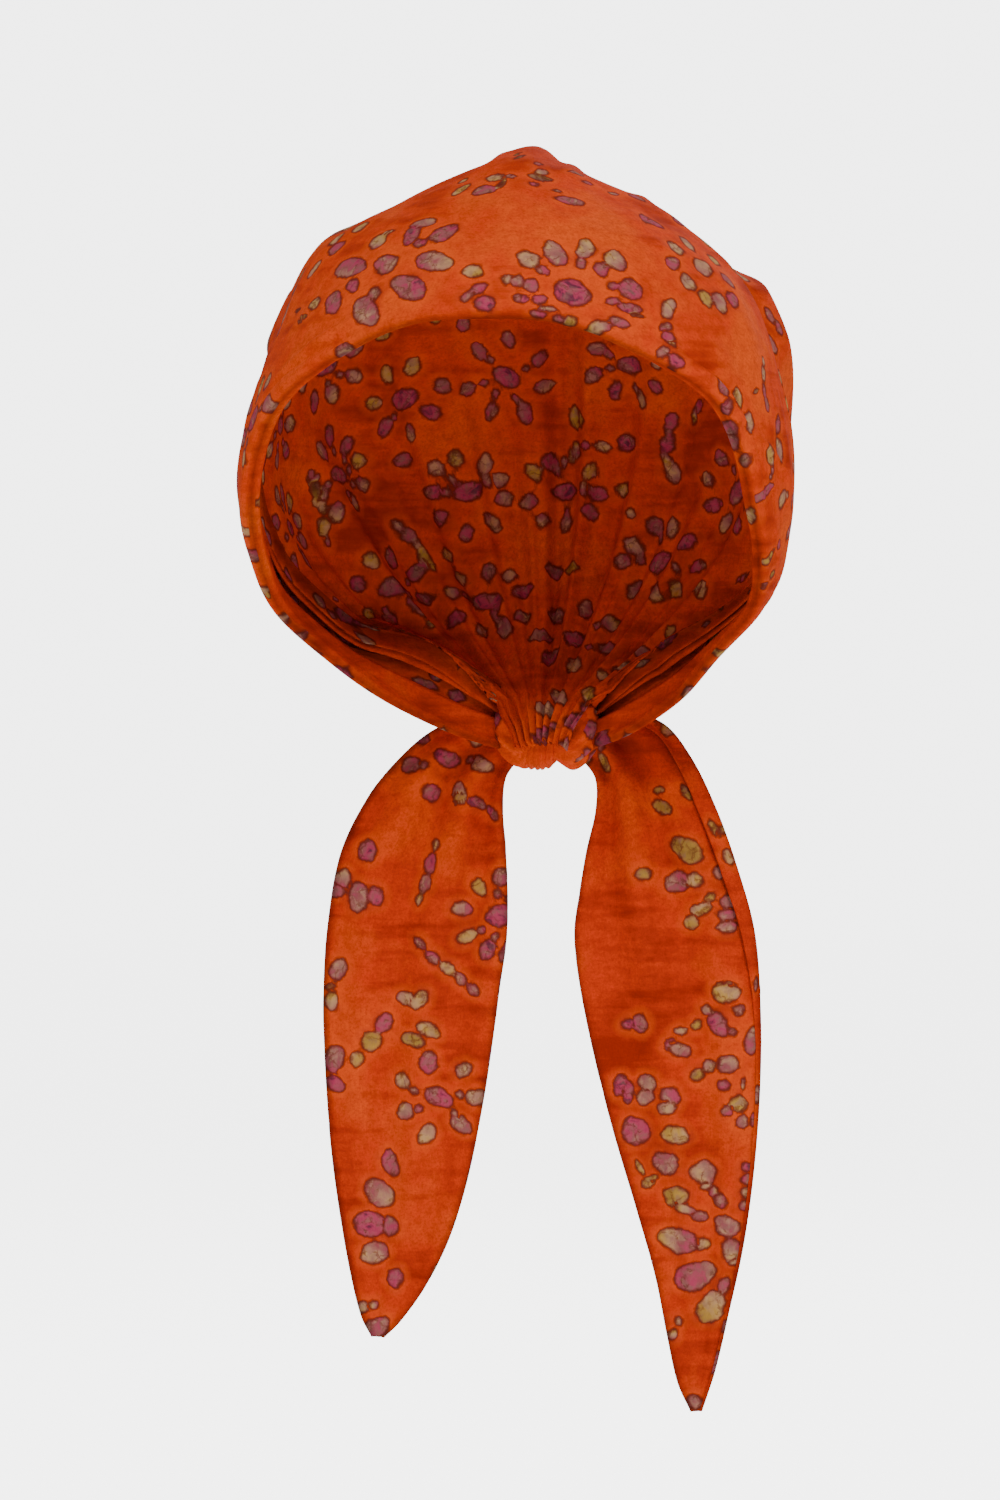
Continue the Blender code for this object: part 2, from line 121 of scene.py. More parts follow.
class Ribs:
    # lines over the form, one for each start, followed by a share of their length
    def __init__(self, start, end, before=None, leadOut=0.0):
        self.start, self.startLift = directionAndLift(start)
        self.end, self.endLift = directionAndLift(end)
        self.bend = None
        angle = np.arccos(np.clip((self.start * self.end).sum(axis=-1), -1.0, 1.0))
        self.angle = angle[:, None, None]
        if before is not None:
            heading = unit(self.start - directionAndLift(before)[0])
            self.bend = self.start + heading * (leadOut * angle)[:, None]
        path = self.at(np.broadcast_to(np.linspace(0.0, 1.0, 25), (len(start), 25)), 0.0)
        self.length = np.linalg.norm(np.diff(path, axis=1), axis=-1).sum(axis=1)

    def lift(self, share):
        return self.startLift[:, None] + (self.endLift - self.startLift)[:, None] * share

    def at(self, share, lift):
        s = share[..., None]
        a, b = self.start[:, None], self.end[:, None]
        if self.bend is None:
            direction = (np.sin((1.0 - s) * self.angle) * a + np.sin(s * self.angle) * b) / np.sin(self.angle)
        else:
            direction = unit(a * (1.0 - s) ** 2 + self.bend[:, None] * 2.0 * (1.0 - s) * s + b * s**2)
        return onForm(direction, self.lift(share) + lift)


# The band: rows from the middle of the brow to the knot. share is how far along, edge the turned brow
# edge, fold the turned rear edge, roll the brow edge's outer radius, letOut how much looser the left is
band = {
    "facing": 12.0, "facingShare": 0.36, "rearTurn": 9.0, "rearShare": 0.30, "rearRoll": 1.45,
    "foldLetOut": 0.35, "pleatsFrom": 0.88, "pleats": 1.5, "pleatHeight": 0.7, "wall": 0.4,
    "sections": 331, "bodySteps": 84,
    "browEase": (-0.02, 0.09), "rearEase": (0.0, 0.12),  # where the folds die out towards the two edges
    "foldColumns": (15, -9),  # the grid's columns on the two folded edges, where painted shade darkens the cloth
    "rows": [
        # share, edge x y z, fold x y z, roll, letOut
        (0.00, 0.0, -79.4, -48.6, 0.0, 8.0, 6.0, 1.6, 0.0),
        (0.12, 18.0, -77.7, -49.2, 24.0, 8.0, 2.5, 1.6, 0.0),
        (0.22, 32.0, -74.4, -52.4, 44.0, 8.0, -6.5, 1.8, 0.0),
        (0.32, 45.8, -68.6, -57.9, 60.0, 8.0, -19.0, 2.2, 0.0),
        (0.42, 57.5, -61.6, -63.5, 73.0, 8.0, -34.0, 2.6, 0.0),
        (0.50, 67.2, -53.2, -69.6, 79.2, 8.0, -47.0, 2.9, 0.6),
        (0.58, 74.0, -45.0, -77.5, 83.6, 8.0, -62.5, 3.0, 1.6),
        (0.66, 78.8, -37.0, -90.0, 87.4, 8.5, -79.5, 3.0, 2.8),
        (0.73, 81.0, -28.5, -105.5, 88.2, 13.0, -95.0, 2.8, 3.8),
        (0.80, 81.8, -12.0, -122.0, 86.2, 23.0, -111.0, 2.5, 3.2),
        (0.86, 77.2, 7.0, -139.0, 80.0, 38.0, -127.0, 2.1, 3.2),
        (0.91, 61.0, 27.5, -154.5, 63.0, 54.0, -141.5, 1.8, 5.6),
        (0.95, 48.0, 44.0, -167.5, 44.0, 69.0, -152.0, 1.6, 2.5),
        (0.98, 30.0, 59.5, -178.5, 26.0, 73.5, -163.5, 1.5, 0.0),
        (1.00, 15.9, 71.0, -183.5, 15.9, 76.5, -169.2, 1.5, 0.0),
    ],
    # the line over the crown: distance from its middle, rise
    "crown": [(-90, 0), (-76, 0.6), (-61, 2.4), (-48, -2.2), (-36, -4.8), (-22, -4.0), (-10, -0.6), (0, 3.8),
              (7, 5.0), (14, 0.8), (30, -2.4), (52, -1.6), (72, 0), (90, 0)],
    # small bumps that the turned rear edge makes on the crown: distance from its middle, width, height
    "bumps": [(18.0, 2.6, 1.1), (40.5, 3.0, 1.0), (-4.0, 2.2, 0.6), (-58.0, 3.0, 0.5)],
    # soft creases: along, across, half length, half width, slant, height
    "creases": [
        (-0.30, 0.62, 0.13, 0.07, 0.9, 1.2), (-0.12, 0.80, 0.10, 0.06, -0.6, 1.0),
        (0.10, 0.72, 0.12, 0.06, 0.7, 1.1), (0.24, 0.86, 0.12, 0.07, 0.3, 0.9),
        (0.46, 0.55, 0.10, 0.10, -1.2, 1.3), (-0.48, 0.55, 0.16, 0.34, 0.0, -3.2),
        (-0.56, 0.42, 0.10, 0.08, 1.1, 0.9), (0.72, 0.62, 0.09, 0.12, 0.4, 1.0),
        (-0.74, 0.58, 0.09, 0.12, -0.4, 1.0),
        (0.685, 0.40, 0.05, 0.035, 5.5, 1.0), (0.33, 0.60, 0.09, 0.05, 1.6, 0.5),
        (-0.22, 0.30, 0.10, 0.05, 1.4, 0.45), (0.05, 0.42, 0.12, 0.04, -0.5, 0.35),
        (0.80, 0.30, 0.06, 0.05, 2.4, 0.6), (-0.82, 0.34, 0.06, 0.05, -2.2, 0.6),
        (-0.36, 0.095, 0.15, 0.020, -0.16, 1.25), (-0.36, 0.055, 0.16, 0.016, -0.16, -0.8),
        (0.52, 0.105, 0.14, 0.018, 0.08, -1.2), (0.52, 0.065, 0.14, 0.018, 0.08, 0.8),
        (0.16, 0.085, 0.07, 0.020, -0.5, 0.6), (0.27, 0.10, 0.06, 0.020, 0.7, 0.5),
    ],
}

bandCreases = {
    "seed": 5, "count": 90, "halfLength": 215.0, "width": 100.0, "u": (-215.0, 215.0), "v": (8.0, 96.0),
    "heading": 0.0, "spread": 70.0, "long": (6.0, 20.0), "wide": (1.6, 4.0), "height": (0.10, 0.42),
}


def bandRibs(along):
    right = np.array(band["rows"])
    left = right[:0:-1].copy()
    left[:, 1] += left[:, 8]
    left[:, 4] += left[:, 8] * band["foldLetOut"]
    left[:, (0, 1, 4)] *= -1.0
    rows = throughRows(np.vstack([left, right]), along)
    return Ribs(rows[:, 1:4], rows[:, 4:7]), rows[:, 4], rows[:, 7]


def crownRise(x):
    rise = throughRows(band["crown"], x)[..., 1]
    for middle, width, height in band["bumps"]:
        rise = rise + height * np.exp(-((x - middle) / width) ** 2)
    return rise


def bandRelief(along, across, foldX):
    along, foldX = along[:, None], foldX[:, None]
    relief = crownRise(foldX) * ease(0.0, 1.0, across) ** 1.5
    gathered = band["pleatHeight"] * ease(band["pleatsFrom"], 1.0, abs(along))
    folds = gathered * np.sin(math.tau * band["pleats"] * across)
    for place, side, halfLength, halfWidth, slant, height in band["creases"]:
        off = (across - side - slant * (along - place)) / halfWidth
        folds = folds + height * np.exp(-((along - place) / halfLength) ** 2 - off**2)
    small = looseCreases(along * bandCreases["halfLength"], across * bandCreases["width"], bandCreases)
    folds = folds + small
    return relief + folds * ease(*band["browEase"], across) * ease(*band["rearEase"], 1.0 - across)


def bandProfile(width, roll, crispness):
    # each column is a distance from the brow edge and a depth, from the facing to the rear turn
    facing = np.minimum(band["facing"], band["facingShare"] * width)
    turn = np.minimum(band["rearTurn"], band["rearShare"] * width)
    rear = band["rearRoll"]
    first, last = roll, width - rear
    columns = [(roll + facing * share, 2.0 * roll) for share in np.linspace(1.0, 0.1, 9)]
    for angle in np.linspace(0.0, math.pi, 13):
        power = 2.0 / crispness
        side = np.abs(math.cos(angle)) ** power * math.copysign(1.0, math.cos(angle))
        columns.append((roll - roll * np.abs(math.sin(angle)) ** power, roll + roll * side))
    for share in np.linspace(0.0, 1.0, band["bodySteps"] + 1)[1:-1]:
        columns.append((first + (last - first) * share, 0.0 * roll))
    for angle in np.linspace(0.0, math.pi, 8):
        columns.append((last + rear * math.sin(angle), rear - rear * math.cos(angle) + 0.0 * roll))
    columns += [(last - turn * share, 2.0 * rear + 0.0 * roll) for share in (0.25, 0.5, 0.75, 1.0)]
    return np.stack([c[0] for c in columns], axis=1), np.stack([c[1] for c in columns], axis=1)


def bandGrid():
    along = np.linspace(-1.0, 1.0, band["sections"])
    ribs, foldX, roll = bandRibs(along)
    crispness = 2.0 + 1.4 * ease(0.30, 0.50, abs(along)) * (1.0 - ease(0.80, 0.92, abs(along)))
    distance, depth = bandProfile(ribs.length, roll, crispness)
    across = distance / ribs.length[:, None]
    return ribs.at(across, bandRelief(along, across, foldX) - depth)


# The back cap, tucked under the band's rear edge and gathered at the nape
cap = {
    "tuck": 8.0, "reach": 0.998, "ease": 1.12, "leadFrom": 0.9, "foldClear": 1.6, "facingEase": 4.0,
    "emergeSlope": 0.9, "clearance": 0.5, "napeSlack": 1.3, "swell": 5.0, "sideSwell": 0.3,
    "folds": 11, "foldHeight": 3.3, "drift": 1.6, "drifts": 3.1, "uneven": 9.4, "calm": 0.75,
    "fineFolds": 29, "fineHeight": 0.95, "gatherHalfWidth": 15.5, "gatherY": 67.2, "gatherZ": -165.5,
    "gatherIn": 2.6, "gatherSag": 2.2, "wall": 0.4, "sections": 301, "steps": 128,
    "foldColumns": (5,), "shadeReach": 6.0,  # the grid's column along the join, and how far the painted shade beside it goes
    # from and to, as shares of the way to the nape or round the cap
    "sideFrom": (0.33, 0.45), "lowFrom": (0.53, 0.65), "calmFrom": (0.55, 0.85), "swellEnds": (0.72, 0.98),
    "foldsGrow": (0.22, 0.80), "foldsEnd": (0.82, 0.97), "fineGrow": (0.50, 0.82), "fineEnd": (0.88, 0.98),
    "leadOut": 0.4, "leadEnds": (0.90, 0.985),
    # the gathered end below the knot's top: place, drop, inward, spread, fold height
    "frillFolds": 9.0,
    "frill": [(0.0, 0.0, 0.0, 1.0, 0.0), (0.25, 4.0, 2.8, 0.88, 0.7), (0.6, 9.5, 4.2, 0.66, 1.2),
              (1.0, 15.5, 4.0, 0.52, 1.5)],
}


def layerGap(along):
    return cap["clearance"] + cap["napeSlack"] * ease(0.78, 0.90, abs(along))


def underBand(points):
    # the most lift that keeps the cap under the band, and lets it rise once it is out
    along = np.linspace(-1.0, 1.0, 901)
    ribs, foldX, roll = bandRibs(along)
    ends = ribs.at(np.stack([0.96 + 0.0 * along, 1.0 + 0.0 * along], axis=1), 0.0)
    fold, outward = ends[:, 1], unit(ends[:, 1] - ends[:, 0])
    height = ribs.endLift + crownRise(foldX)
    slope = (height - ribs.startLift) / ribs.length
    flat = points.reshape(-1, 3)
    near = np.concatenate([((part[:, None] - fold) ** 2).sum(axis=-1).argmin(axis=1)
                           for part in np.array_split(flat, 100)])
    beyond = ((flat - fold[near]) * outward[near]).sum(axis=-1)
    rear, turn = band["rearRoll"], band["rearTurn"]
    layers = 2.0 * (rear + (roll[near] - rear) * ease(turn, turn + cap["facingEase"], -beyond))
    top = height[near] + slope[near] * np.minimum(beyond, 0.0) - layers - layerGap(along[near])
    return (top + cap["emergeSlope"] * np.maximum(beyond - cap["foldClear"], 0.0)).reshape(points.shape[:-1])


def capRelief(along, share, folded=1.0):
    along = along[:, None]
    side, low = ease(*cap["sideFrom"], abs(along)), ease(*cap["lowFrom"], abs(along))
    start, full = 0.06 * (1.0 - side) + 0.20 * low, 0.46 - 0.32 * side + 0.40 * low
    swell = cap["swell"] * (1.0 + cap["sideSwell"] * side) * ease(0.0, 1.0, (share - start) / (full - start))
    swell = swell * (1.0 - ease(*cap["swellEnds"], share))
    turn = math.pi * along / cap["reach"]
    ripple = np.cos(cap["folds"] * turn + cap["drift"] * np.sin(cap["drifts"] * along))
    growth = ease(*cap["foldsGrow"], share) * (1.0 - 0.72 * ease(*cap["foldsEnd"], share))
    calm = 1.0 - cap["calm"] * ease(*cap["calmFrom"], abs(along))
    fine = np.cos(cap["fineFolds"] * turn + 2.0 * np.sin(5.0 * along) + 1.5 * share)
    fineGrowth = ease(*cap["fineGrow"], share) * (1.0 - 0.8 * ease(*cap["fineEnd"], share))
    uneven = 0.72 + 0.28 * np.sin(cap["uneven"] * along + 0.8)
    folds = cap["foldHeight"] * growth * ripple * uneven + cap["fineHeight"] * fineGrowth * fine
    return swell + folds * calm * folded


def capGrid(folded=1.0):
    along = np.linspace(-cap["reach"], cap["reach"], cap["sections"])
    panel, foldX, _ = bandRibs(along)
    rise = crownRise(foldX)
    one = np.ones((len(along), 1))
    start = panel.at(one, rise[:, None])[:, 0]
    before = panel.at(one * cap["leadFrom"], rise[:, None])[:, 0]
    side = np.sin(0.5 * math.pi * along / cap["reach"])
    gather = np.stack([cap["gatherHalfWidth"] * side, cap["gatherY"] - cap["gatherIn"] * side**2,
                       cap["gatherZ"] - cap["gatherSag"] * side**2], axis=1)
    ribs = Ribs(start, gather, before, cap["leadOut"] * (1.0 - ease(*cap["leadEnds"], abs(along))))
    across = 1.0 - np.linspace(cap["tuck"], 1.0, 6)[None] / panel.length[:, None]
    under = (2.0 * band["rearRoll"] + layerGap(along))[:, None]
    tucked = panel.at(across, bandRelief(along, across, foldX) - under)
    share = np.broadcast_to(np.linspace(0.0, 1.0, cap["steps"]) ** cap["ease"], (len(along), cap["steps"]))
    relief = capRelief(along, share, folded)
    excess = ribs.lift(share) + relief - underBand(ribs.at(share, 0.0))
    body = ribs.at(share, relief - np.maximum(excess, 0.0))
    last = body[:, -1:]
    _, drop, inward, spread, height = throughRows(cap["frill"], np.linspace(0.0, 1.0, 15)[1:]).T
    wave = folded * np.cos(cap["frillFolds"] * math.pi * side + 0.6)[:, None]
    hang = np.stack([last[..., 0] * spread + 0.5 * wave * height, last[..., 1] - inward + wave * height,
                     last[..., 2] - drop * (1.0 + 0.04 * wave)], axis=-1)
    return np.concatenate([tucked, body, hang], axis=1)


# The ties: rows from the knot to the tip. outer and inner are the long edges, y how far back the cloth
# hangs, pleat the height of its lengthwise folds, strip the width turned over along the outer edge
tieShape = {
    "pleats": 2.5, "rootGap": 0.9, "rootEase": 0.5, "hem": 3.0, "hemRoll": 0.55, "wall": 0.45,
    "sections": 230, "bodySteps": 60, "curl": 1.6, "curlFrom": (1.6, 4.5), "edgeEase": 16.0,
    "foldColumns": (10, -9),  # the grid's columns on the two folded edges, where painted shade darkens the cloth
    # the loose creases that run down them
    "seed": 8, "count": 70, "u": (10.0, 245.0), "v": (0.0, 60.0), "heading": 90.0, "spread": 16.0,
    "long": (7.0, 20.0), "wide": (1.4, 3.2), "height": (0.25, 0.85),
}
knotShape = {"centre": (0.0, 76.2, -178.0), "half": (14.8, 10.0, 11.5), "squareness": 2.7}
ties = {
    "tie_right": {"turned": -1.0, "rows": [
        # outer x z, inner x z, y, pleat, strip
        (12.2, -171.5, 10.8, -186.0, 80.8, 0.6, 1.2), (24.0, -170.5, 15.5, -193.0, 82.0, 2.0, 2.0),
        (38.5, -174.5, 16.0, -204.0, 79.0, 3.0, 3.4), (48.5, -186.0, 13.5, -217.0, 75.0, 3.4, 4.6),
        (57.0, -202.5, 11.5, -231.0, 72.0, 3.4, 5.2), (64.0, -221.0, 10.0, -245.0, 70.0, 3.0, 5.0),
        (70.2, -243.5, 12.0, -263.0, 70.0, 2.6, 4.0), (72.2, -270.0, 17.0, -287.0, 70.0, 2.2, 2.0),
        (72.0, -296.0, 23.2, -311.0, 70.0, 1.9, 1.2), (70.0, -323.0, 30.7, -336.0, 70.0, 1.5, 1.1),
        (66.5, -348.0, 37.2, -359.0, 70.0, 1.1, 1.0), (61.5, -371.0, 41.2, -379.0, 70.0, 0.7, 0.9),
        (57.0, -390.0, 44.6, -394.0, 70.0, 0.3, 0.7), (52.6, -403.4, 49.0, -403.6, 70.0, 0.0, 0.4)]},
    "tie_left": {"turned": 1.0, "rows": [
        (-12.2, -171.5, -10.8, -186.0, 80.8, 0.6, 1.2), (-24.0, -171.5, -15.5, -193.0, 82.0, 2.0, 2.2),
        (-39.0, -177.0, -16.0, -204.0, 79.0, 3.0, 3.0), (-50.5, -187.0, -14.5, -217.0, 75.0, 3.4, 3.0),
        (-60.5, -200.0, -13.5, -231.0, 72.0, 3.4, 3.0), (-69.0, -218.0, -13.5, -246.0, 70.0, 3.0, 3.0),
        (-73.6, -243.0, -16.0, -264.0, 70.0, 2.6, 3.0), (-75.0, -268.0, -19.0, -286.0, 70.0, 2.2, 3.0),
        (-74.2, -292.0, -22.5, -307.0, 70.0, 1.9, 3.0), (-72.2, -318.0, -27.0, -328.0, 70.0, 1.5, 3.0),
        (-69.0, -341.0, -33.0, -347.0, 70.0, 1.1, 2.6), (-65.5, -360.0, -41.0, -363.0, 70.0, 0.7, 2.0),
        (-62.0, -373.5, -49.5, -374.8, 70.0, 0.3, 1.2), (-58.6, -380.0, -55.0, -380.2, 70.0, 0.0, 0.4)]},
}


def knotSide(y, z):
    power = knotShape["squareness"]
    spent = abs((y - knotShape["centre"][1]) / knotShape["half"][1]) ** power
    spent = spent + abs((z - knotShape["centre"][2]) / knotShape["half"][2]) ** power
    return knotShape["half"][0] * np.maximum(1.0 - spent, 0.0) ** (1.0 / power)


def tieProfile(width, strip, turned):
    # a turned strip along the outer edge, the body, and a narrow hem along the inner edge, turned back
    roll = np.minimum(tieShape["hemRoll"], 0.12 * width)
    outer, inner = np.minimum(strip, 0.3 * width), np.minimum(tieShape["hem"], 0.2 * width)
    columns = [(roll + outer * share, turned * 2.0 * roll) for share in np.linspace(1.0, 0.15, 7)]
    for angle in np.linspace(0.0, math.pi, 6):
        columns.append((roll - roll * math.sin(angle), turned * (roll + roll * math.cos(angle))))
    for share in np.linspace(0.0, 1.0, tieShape["bodySteps"] + 1)[1:-1]:
        columns.append((roll + (width - 2.0 * roll) * share, 0.0 * roll))
    for angle in np.linspace(0.0, math.pi, 6):
        columns.append((width - roll + roll * math.sin(angle), roll - roll * math.cos(angle)))
    columns += [(width - roll - inner * share, 2.0 * roll) for share in np.linspace(0.15, 1.0, 6)]
    return np.stack([c[0] for c in columns], axis=1), np.stack([c[1] for c in columns], axis=1)


def tieGrid(tie, folded=1.0):
    rows = np.array(tie["rows"])
    runs = np.hypot(*np.diff(rows[:, 0:2], axis=0).T) + np.hypot(*np.diff(rows[:, 2:4], axis=0).T)
    places = np.concatenate([[0.0], np.cumsum(0.5 * runs)])
    run = np.linspace(0.0, places[-1], tieShape["sections"])
    row = throughRows(np.column_stack([places, rows]), run)[:, 1:]
    outer = np.stack([row[:, 0], row[:, 4], row[:, 1]], axis=1)
    inner = np.stack([row[:, 2], row[:, 4], row[:, 3]], axis=1)
    width = np.linalg.norm(inner - outer, axis=1)
    distance, depth = tieProfile(width, row[:, 6], tie["turned"])
    share = distance / width[:, None]
    points = outer[:, None] + (inner - outer)[:, None] * share[..., None]
    wave = np.cos(math.tau * tieShape["pleats"] * share) * np.sqrt(np.sin(math.pi * np.clip(share, 0.0, 1.0)))
    onStrip = ease(*tieShape["curlFrom"], row[:, 6])[:, None] * (depth * tie["turned"] > 0.01)
    curl = 1.0 + tieShape["curl"] * (tie["turned"] < 0) * onStrip
    inset = np.clip((width[:, None] - distance) * distance / tieShape["edgeEase"], 0.0, 1.0)
    small = looseCreases(run[:, None], distance, tieShape) * inset
    points[..., 1] += folded * (row[:, 5][:, None] * wave + small) + depth * curl
    clear = knotSide(points[..., 1], points[..., 2]) + tieShape["rootGap"] - tieShape["rootEase"]
    points[..., 0] = np.copysign(np.maximum(abs(points[..., 0]), clear), points[..., 0])
    return points


# The knot: two pleated lobes where the band's ends and the ties run in, and a slanted wrap round its middle
knotCloth = {
    "half": (17.6, 11.0, 12.6), "forward": 0.9, "lobeRise": 3.2, "pleats": 9, "pleatHeight": 0.10,
    "twist": 1.6, "pinch": 0.34, "pinchHalf": 6.8, "wrapHalf": 5.9, "wrapThick": 3.4, "wrapUnder": 1.2,
    "wrapSlant": 3.6, "wrapPleats": 3.0, "wrapPleatHeight": 0.70, "around": 144, "along": 84,
}


def rounded(value, power):
    return np.sign(value) * abs(value) ** power


def knotMiddle():
    return np.array(knotShape["centre"]) - (0.0, knotCloth["forward"], 0.0)


def lobesGrid():
    half = np.array(knotCloth["half"])
    around = np.linspace(0.0, math.tau, knotCloth["around"] + 1)[None]
    lat = np.linspace(-math.pi / 2, math.pi / 2, knotCloth["along"])[:, None]
    x = rounded(np.sin(lat), 0.8)
    girth = np.maximum(np.cos(lat), 0.0) ** 0.5
    pleats = np.cos(knotCloth["pleats"] * around + knotCloth["twist"] * x)
    pleats = pleats + 0.4 * np.cos(5 * around - 2.0 * x + 1.0)
    girth = girth * (1.0 + knotCloth["pleatHeight"] * pleats * ease(0.0, 0.5, abs(x)))
    girth = girth * (1.0 - knotCloth["pinch"] * np.exp(-((x * half[0] / knotCloth["pinchHalf"]) ** 2)))
    rise = knotCloth["lobeRise"] * ease(0.4, 1.0, abs(x))
    deep = half[1] * girth * rounded(np.cos(around), 0.85)
    high = half[2] * girth * rounded(np.sin(around), 0.85) + rise
    return knotMiddle() + np.stack(np.broadcast_arrays(half[0] * x, deep, high), axis=-1)


def wrapGrid():
    half = np.array(knotCloth["half"])
    around = np.linspace(0.0, math.tau, knotCloth["around"] + 1)[:, None]
    ring = np.linspace(0.0, math.tau, 61)[None]
    side, out = rounded(np.cos(ring), 0.8), rounded(np.sin(ring), 0.7)
    tight = 1.0 - knotCloth["pinch"]
    thick = np.where(out > 0.0, knotCloth["wrapThick"], knotCloth["wrapUnder"]) * out
    ripple = np.cos(math.tau * knotCloth["wrapPleats"] * side + 0.5 * np.sin(3 * around))
    pleat = knotCloth["wrapPleatHeight"] * ripple
    thick = thick + pleat * np.maximum(out, 0.0)
    narrow = 1.0 - 0.16 * np.cos(around) ** 2 + 0.08 * np.cos(3 * around + 1.0)
    x = knotCloth["wrapHalf"] * narrow * side + knotCloth["wrapSlant"] * np.sin(around + 0.3)
    return knotMiddle() + np.stack(np.broadcast_arrays(
        x, (half[1] * tight + thick) * rounded(np.cos(around), 0.9),
        (half[2] * tight + thick) * rounded(np.sin(around), 0.9)), axis=-1)


print("shapes worked out")
